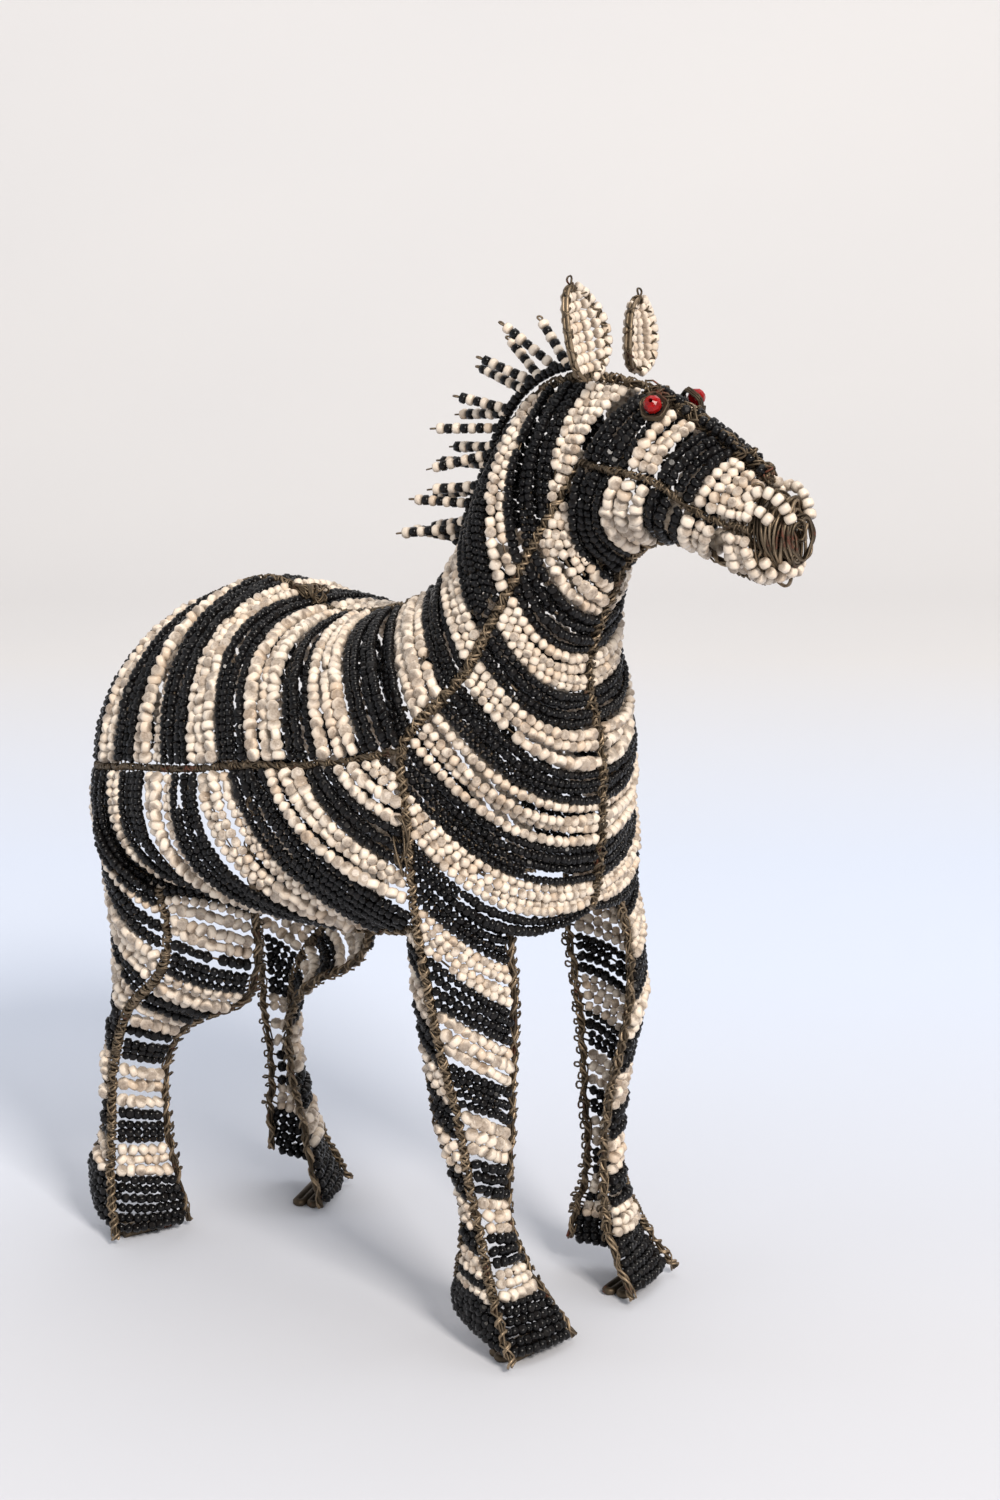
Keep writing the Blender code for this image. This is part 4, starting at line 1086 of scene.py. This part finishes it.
class ZEBRA_OT_ears(bpy.types.Operator):
    """Fills each ear's rim with short rows and adds the beads and wire on its edge"""

    bl_idname = "zebra.ears"
    bl_label = "Ears"

    def execute(self, context):
        sizes = context.scene.zebra_sizes
        half = sizes.ivory_bead / 2 / UNIT
        for side in (1, -1):
            bundle = Bundle()
            centres, axes = [], []
            for level in np.linspace(0.10, 0.90, 8):
                turn = np.arccos(1 - 2 * level)
                (left, right), face, rise = ear_loop(np.array([2 * np.pi - turn, turn]), side)
                count = max(int(round(np.linalg.norm(right - left) / 2.25)), 2)
                share = ((np.arange(count) + 0.5) / count)[:, None]
                depth = 2.4 * np.sin(np.pi * level) ** 0.5
                centres.append(left * (1 - share) + right * share - face * depth * 4 * share * (1 - share))
                axes.append(np.repeat(unit(right - left)[None], count, 0))
                run = np.linspace(0, 1, 7)[:, None]
                wire = left * (1 - run) + right * run - face * depth * 4 * run * (1 - run)
                sweep(bundle, place(wire, side), sizes.row_wire / 2, WIRE)
            centres, axes = np.concatenate(centres), np.concatenate(axes)
            flip = np.array([1.0, side, 1.0])
            beads(bundle, place(centres, side), axes * flip, half * 0.88 * UNIT, 1.08 * UNIT, False,
                  70 + side)
            turns = np.linspace(0, 2 * np.pi, 80)
            rim, face, rise = ear_loop(turns, side)
            out = unit(rim - rim.mean(axis=0))
            # beads sit on the edge towards the camera's right, bare bright wire on the other edge
            beaded = np.linspace(0.10, 0.86, 11) * np.pi
            beaded = beaded if side > 0 else 2 * np.pi - beaded
            edge = np.stack([np.interp(beaded, turns, (rim + out * 0.5)[:, i]) for i in range(3)], axis=-1)
            ahead = unit(np.gradient(edge, axis=0))
            beads(bundle, place(edge, side), ahead * flip, half * 0.80 * UNIT, 1.05 * UNIT, False,
                  80 + side)
            bare = turns >= np.pi if side > 0 else turns <= np.pi
            for k in (0, 1):
                run = rim[bare] + out[bare] * 0.3 + face * (0.5 - 1.1 * k)
                sweep(bundle, place(run, side), 0.42 * UNIT, WIRE, sides=6, tone=0.9)
            for k in range(2):
                path = coil_path(rim, 0.95, 4.2 + k, 2.0 * k, 1 if k % 2 else -1, 8, 0.8, seed=k)
                sweep(bundle, place(path, side), sizes.row_wire / 2, 3)
            # the small loop at the tip, half way round the rim
            tip = rim[len(rim) // 2]
            u = np.linspace(0, 1, 11)[:, None]
            sway = np.array([0, 0.9, 0.3]) * np.sin(2 * np.pi * u)
            loop = tip + rise * (0.4 + 2.0 * np.sin(np.pi * u)) + sway
            sweep(bundle, place(loop, side), sizes.row_wire / 2, 3)
            made = bundle.object(f"ear_rows_{word_of(side)}", EAR_FINISHES)
            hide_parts(f"ear_beads_{word_of(side)}")
        return {"FINISHED"}


class ZEBRA_OT_eyes(bpy.types.Operator):
    """Winds a small coil of wire round each eye bead"""

    bl_idname = "zebra.eyes"
    bl_label = "Eye coils"

    def execute(self, context):
        sizes = context.scene.zebra_sizes
        centre, look = np.array(EYE_PLACE), unit(np.array(EYE_LOOK))
        u = square_to(look[None])[0]
        w = np.cross(look, u)
        t = np.linspace(0, 1, 64)[:, None]
        angle = 2 * np.pi * EYE_TURNS * t
        spoke = np.cos(angle) * u + np.sin(angle) * w
        coil = centre + look * (-2.2 + 1.7 * t) + (3.0 - 0.25 * np.sin(5 * angle)) * spoke
        leg = np.concatenate([coil, coil[-1] + (look * -2.6 + u * 1.2) * np.linspace(0.1, 1, 8)[:, None]])
        for side in (1, -1):
            bundle = Bundle()
            sweep(bundle, place(leg, side), sizes.row_wire / 2 * 1.1, 0)
            bundle.object(f"eye_coil_{word_of(side)}", ("dark_wire",))
        return {"FINISHED"}


LIPS = {
    # runs of ivory beads about the mouth, on the right side
    "upper": [(36.4, -7.5, 201.5), (38.9, -7.4, 204.0), (41.7, -7.2, 205.8), (44.4, -6.8, 207.4),
              (47.6, -5.8, 206.6), (49.7, -5.0, 204.4), (51.0, -4.2, 201.8)],
    "inner": [(43.0, -7.4, 203.6), (44.6, -7.3, 203.4), (46.8, -6.6, 201.6)],
    "corner": [(37.2, -7.4, 197.2), (38.4, -7.0, 194.0), (38.6, -6.4, 191.0)],
    "chin": [(41.8, -6.5, 193.6), (42.6, -5.9, 190.8), (43.4, -4.0, 188.4), (44.0, -1.4, 187.6)],
    "chin_front": [(45.8, -5.6, 191.8), (46.6, -4.0, 189.4), (47.2, -1.4, 188.6)],
    "chin_tip": [(49.4, -3.4, 191.0), (50.0, -1.3, 189.8)],
}
NOSE_BANDS, NOSE_LOOPS = 20, 56
NOSE_START, NOSE_LENGTH, NOSE_END, NOSE_HEIGHT = 43.5, 8.4, 52.4, 198.2
MOUTH = (44.5, 0, 197.2)


class ZEBRA_OT_muzzle(bpy.types.Operator):
    """Winds bands and loops of thin wire into the nose, with runs of ivory beads about the mouth"""

    bl_idname = "zebra.muzzle"
    bl_label = "Muzzle wires"

    def execute(self, context):
        sizes = context.scene.zebra_sizes
        bundle = Bundle()
        random = np.random.default_rng(5)
        turn = np.linspace(0, 2 * np.pi * 1.15, 44)
        for k in range(NOSE_BANDS):
            # bands round the nose: ovals that grow smaller towards its end, each tipped and uneven
            share = (k + 0.5) / NOSE_BANDS
            size_y, size_z = 6.6 - 3.4 * share**2.2, 8.6 - 4.4 * share**2.2
            start = 2 * np.pi * random.random()
            uneven = 1 + 0.07 * np.sin(3 * turn + 6 * random.random()) + 0.05 * np.sin(5 * turn)
            y, z = size_y * np.cos(turn + start) * uneven, size_z * np.sin(turn + start) * uneven
            x = NOSE_START + NOSE_LENGTH * share + 0.16 * random.normal() * z + 0.16 * random.normal() * y
            path = np.stack([np.minimum(x, NOSE_END), y, z + NOSE_HEIGHT - 1.2 * share], axis=1)
            thick = sizes.strand / 2 * (0.9 + 0.6 * random.random())
            sweep(bundle, place(path, 1), thick, 1 + k % 2, tone=random.random())
        for k in range(NOSE_LOOPS):
            # loops that lie against each side about the mouth, and close the opening behind it
            side = 1 if k % 2 else -1
            middle = np.array(MOUTH) + random.normal(size=3) * (3.4, 0, 3.6)
            lie = 6.6 - 0.045 * (middle[0] - 38) ** 2 if middle[0] > 38 else 6.6
            reach = 1.6 + 2.6 * random.random()
            spin = 2 * np.pi * random.random()
            u, v = reach * np.cos(turn), 0.65 * reach * np.sin(turn)
            x = middle[0] + u * np.cos(spin) - v * np.sin(spin)
            z = middle[2] + u * np.sin(spin) + v * np.cos(spin)
            y = -max(lie, 2.0) + 1.5 * random.random() + 0.7 * np.sin(2 * turn + 6 * random.random())
            path = np.stack([np.minimum(x, NOSE_END), y * (1 - 0.05 * np.maximum(x - 46, 0)), z], axis=1)
            thick = sizes.strand / 2 * (0.9 + 0.6 * random.random())
            sweep(bundle, place(path, side), thick, 1 + k % 3 // 2, tone=random.random())
        for side in (1, -1):
            for k, run in enumerate(LIPS.values()):
                line = spline(run, 60)
                total = lengths(line)[-1]
                count = int(round(total / 2.35)) + 1
                s_at = np.linspace(0, total, count)
                aim = heading(line, np.clip(s_at, 1.0, total - 1.0)) * (1, side, 1)
                beads(bundle, place(at(line, s_at), side), aim, 1.40 * UNIT, 1.10 * UNIT, False,
                      30 + 2 * k + side)
        made = bundle.object("muzzle_tangle", ("ivory_glass", "bright_wire", "frame_wire"))
        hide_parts("muzzle_wires")
        return {"FINISHED"}


# outer and inner end of the toe wire under each foot, and whether it moves with the hind step
TOES = {"fore": ((-1, -35), (1, -13), False), "hind": ((-128, -34), (-121, -14), True)}
TOE_RUNS = 4
TOE_RADIUS = 0.99


class ZEBRA_OT_toes(bpy.types.Operator):
    """Bends each toe's wire back and forth into its four runs"""

    bl_idname = "zebra.toes"
    bl_label = "Toe wires"

    def execute(self, context):
        sizes = context.scene.zebra_sizes
        for name, (*ends, leg) in TOES.items():
            start, end = (np.array([x, y, 0.0]) for x, y in ends)
            along = unit(end - start)
            back = np.cross(along, (0.0, 0.0, 1.0))
            back = back * (-1 if back[0] > 0 else 1)
            start, end = start + along * 3.0 + back * 3.0, end - along * 3.0 + back * 3.0
            reach = np.linalg.norm(end - start)
            start = start + np.array([0, 0, 1.0])
            # runs lie 2 apart, joined by half circles of radius 1
            path = []
            for k in range(TOE_RUNS):
                forth = k % 2 == 0
                run = np.linspace(1.0, reach - 1.0, 6)[::1 if forth else -1]
                path.append(start + along * run[:, None] + back * (2.0 * k))
                if k < TOE_RUNS - 1:
                    turn = np.linspace(0.2, 0.8, 4)[:, None] * np.pi
                    edge, out = (reach - 1.0, 1) if forth else (1.0, -1)
                    path.append(start + along * (edge + out * np.sin(turn))
                                + back * (2.0 * k + 1 - np.cos(turn)))
            path = np.concatenate(path)
            for side in (1, -1):
                bundle = Bundle()
                placed = place(path, side)
                if leg and side < 0:
                    placed[:, 0] += HIND_STEP * UNIT
                sweep(bundle, placed, TOE_RADIUS * UNIT, 0, sides=8, tone=0.4)
                made = bundle.object(f"{name}_toe_wire_{word_of(side)}", ("frame_wire",))
                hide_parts(f"{name}_toe_{word_of(side)}")
        return {"FINISHED"}


class ZEBRA_OT_tail(bpy.types.Operator):
    """Winds the tail's beads round its wire and hangs the tassel's strings"""

    bl_idname = "zebra.tail"
    bl_label = "Tail"

    def execute(self, context):
        sizes = context.scene.zebra_sizes
        bundle = Bundle()
        line = LINES["tail"]
        total = lengths(line)[-1]
        part = at(line, np.linspace(1.5, total * 0.70, 200))
        for k in range(3):
            path = coil_path(part, 0.95, 9.0, 2 * np.pi * k / 3, 1, 40)
            s_at = np.arange(0.8, lengths(path)[-1], 1.75)
            for tone in (False, True):
                pick = (np.sin(2 * np.pi * s_at / 16.0) > 0.2) != tone
                string(bundle, path, s_at[pick], 1.05, 0.82, tone, 130 + k + 10 * tone)
        root = at(line, total * 0.68)
        tip = at(line, total)
        for k in range(9):
            angle = 2.4 * k
            out = np.array([np.cos(angle), np.sin(angle), 0.0]) * (1.0 + 1.6 * (k % 3) / 2)
            share = np.linspace(0, 1, 20)[:, None]
            path = root * (1 - share) + tip * share + out * np.sin(np.pi * share * 0.85) ** 0.8
            s_at = np.arange(0.6, lengths(path)[-1] - 0.5 * (k % 3), 1.8)
            string(bundle, path, s_at, 1.15, 0.85, True, 150 + k)
        made = bundle.object("tail_rows", BEAD_FINISHES)
        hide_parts("tail")
        return {"FINISHED"}


class ZEBRA_OT_wire_finish(bpy.types.Operator):
    """Gives the frame's own wires, rims and eyes their finishes"""

    bl_idname = "zebra.wire_finish"
    bl_label = "Wire finish"

    def execute(self, context):
        wanted = {"ivory_beads": "ivory_glass", "black_beads": "black_glass", "aged_wire": "frame_wire",
                  "red_glass": "red_glass"}
        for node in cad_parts.values():
            for held in node.material_slots:
                word = held.material.name.split(".")[0] if held.material else "aged_wire"
                held.material = finish_named(wanted.get(word, "frame_wire"))
        return {"FINISHED"}


class ZEBRA_OT_stage(bpy.types.Operator):
    """Sets the pale floor and backdrop, the soft lights and the camera"""

    bl_idname = "zebra.stage"
    bl_label = "Stage"

    def execute(self, context):
        # floor and backdrop: one sheet away from the camera, flat, then a quarter circle, then a wall
        toward = np.array(BEHIND)
        angle = np.linspace(0, 1, 48) * np.pi / 2
        run = np.concatenate([[-HALF_WIDTH], np.linspace(0, FLOOR_RUN, 12), FLOOR_RUN + COVE * np.sin(angle),
                              [FLOOR_RUN + COVE]])
        rise = np.concatenate([[0.0], np.zeros(12), COVE * (1 - np.cos(angle)), [WALL_HEIGHT]])
        across = np.array([toward[1], -toward[0]])
        points = [(*(toward * r + across * w), z)
                  for r, z in zip(run, rise) for w in (-HALF_WIDTH, HALF_WIDTH)]
        faces = [(2 * i, 2 * i + 1, 2 * i + 3, 2 * i + 2) for i in range(len(run) - 1)]
        mesh = bpy.data.meshes.new("floor")
        mesh.from_pydata([tuple(map(float, p)) for p in points], [], faces)
        mesh.polygons.foreach_set("use_smooth", [True] * len(faces))
        mesh.materials.append(finish_named("stage_paint"))
        floor = bpy.data.objects.new("floor", mesh)
        context.scene.collection.objects.link(floor)
        context.scene.view_settings.view_transform = "Standard"
        world = bpy.data.worlds.new("soft_room")
        context.scene.world = world
        world.use_nodes = True
        tree = world.node_tree
        room = tree.nodes["Background"]
        room.inputs[0].default_value = ROOM_COLOR
        # what the glass mirrors of the room is darker than the light that the room gives
        rays = tree.nodes.new("ShaderNodeLightPath")
        dim = tree.nodes.new("ShaderNodeMath")
        dim.operation = "MULTIPLY_ADD"
        tree.links.new(rays.outputs["Is Glossy Ray"], dim.inputs[0])
        dim.inputs[1].default_value, dim.inputs[2].default_value = ROOM_DIMMED, ROOM_LIGHT
        tree.links.new(dim.outputs[0], room.inputs[1])
        for name, (position, aim, size, power, color) in LIGHTS.items():
            light = bpy.data.lights.new(name, "AREA")
            light.size, light.energy, light.color = size, power, color
            lamp = bpy.data.objects.new(name, light)
            context.scene.collection.objects.link(lamp)
            stand(lamp, position, unit(np.array(position) - np.array(aim)))
        camera = bpy.data.cameras.new("photo_camera")
        camera.sensor_fit, camera.sensor_height, camera.lens = "VERTICAL", 36.0, CAMERA_LENS
        camera.clip_start, camera.clip_end = 0.01, 20.0
        eye = bpy.data.objects.new("photo_camera", camera)
        context.scene.collection.objects.link(eye)
        level = math.cos(CAMERA_HEIGHT)
        back = (math.sin(CAMERA_SIDE) * level, -math.cos(CAMERA_SIDE) * level, math.sin(CAMERA_HEIGHT))
        stand(eye, CAMERA_PLACE, np.array(back))
        context.scene.camera = eye
        return {"FINISHED"}


def stand(item, position, back):
    """Stands an object at position with its -Z looking against back and its X level."""
    right = unit(np.cross((0.0, 0.0, 1.0), back))
    up = np.cross(back, right)
    item.matrix_world = Matrix([[right[i], up[i], back[i], position[i]] for i in range(3)] + [[0, 0, 0, 1]])


class ZEBRA_PT_panel(bpy.types.Panel):
    """Lists the figurine's sizes and pieces"""

    bl_idname = "ZEBRA_PT_panel"
    bl_label = "Beaded zebra"
    bl_space_type = "VIEW_3D"
    bl_region_type = "UI"
    bl_category = "Zebra"

    def draw(self, context):
        for key in ZebraSizes.__annotations__:
            self.layout.prop(context.scene.zebra_sizes, key)
        for operator in OPERATORS:
            self.layout.operator(operator.bl_idname)


OPERATORS = (ZEBRA_OT_stage, ZEBRA_OT_torso, ZEBRA_OT_head, ZEBRA_OT_legs, ZEBRA_OT_hooves, ZEBRA_OT_lashing,
             ZEBRA_OT_mane, ZEBRA_OT_ears, ZEBRA_OT_eyes, ZEBRA_OT_muzzle, ZEBRA_OT_toes, ZEBRA_OT_tail,
             ZEBRA_OT_wire_finish)
CLASSES = (ZebraSizes, *OPERATORS, ZEBRA_PT_panel)


def register():
    for item in CLASSES:
        bpy.utils.register_class(item)
    bpy.types.Scene.zebra_sizes = bpy.props.PointerProperty(type=ZebraSizes)


def unregister():
    del bpy.types.Scene.zebra_sizes
    for item in reversed(CLASSES):
        bpy.utils.unregister_class(item)


def main():
    register()
    for operator in OPERATORS:
        family, name = operator.bl_idname.split(".")
        getattr(getattr(bpy.ops, family), name)()


if __name__ == "__main__":
    main()
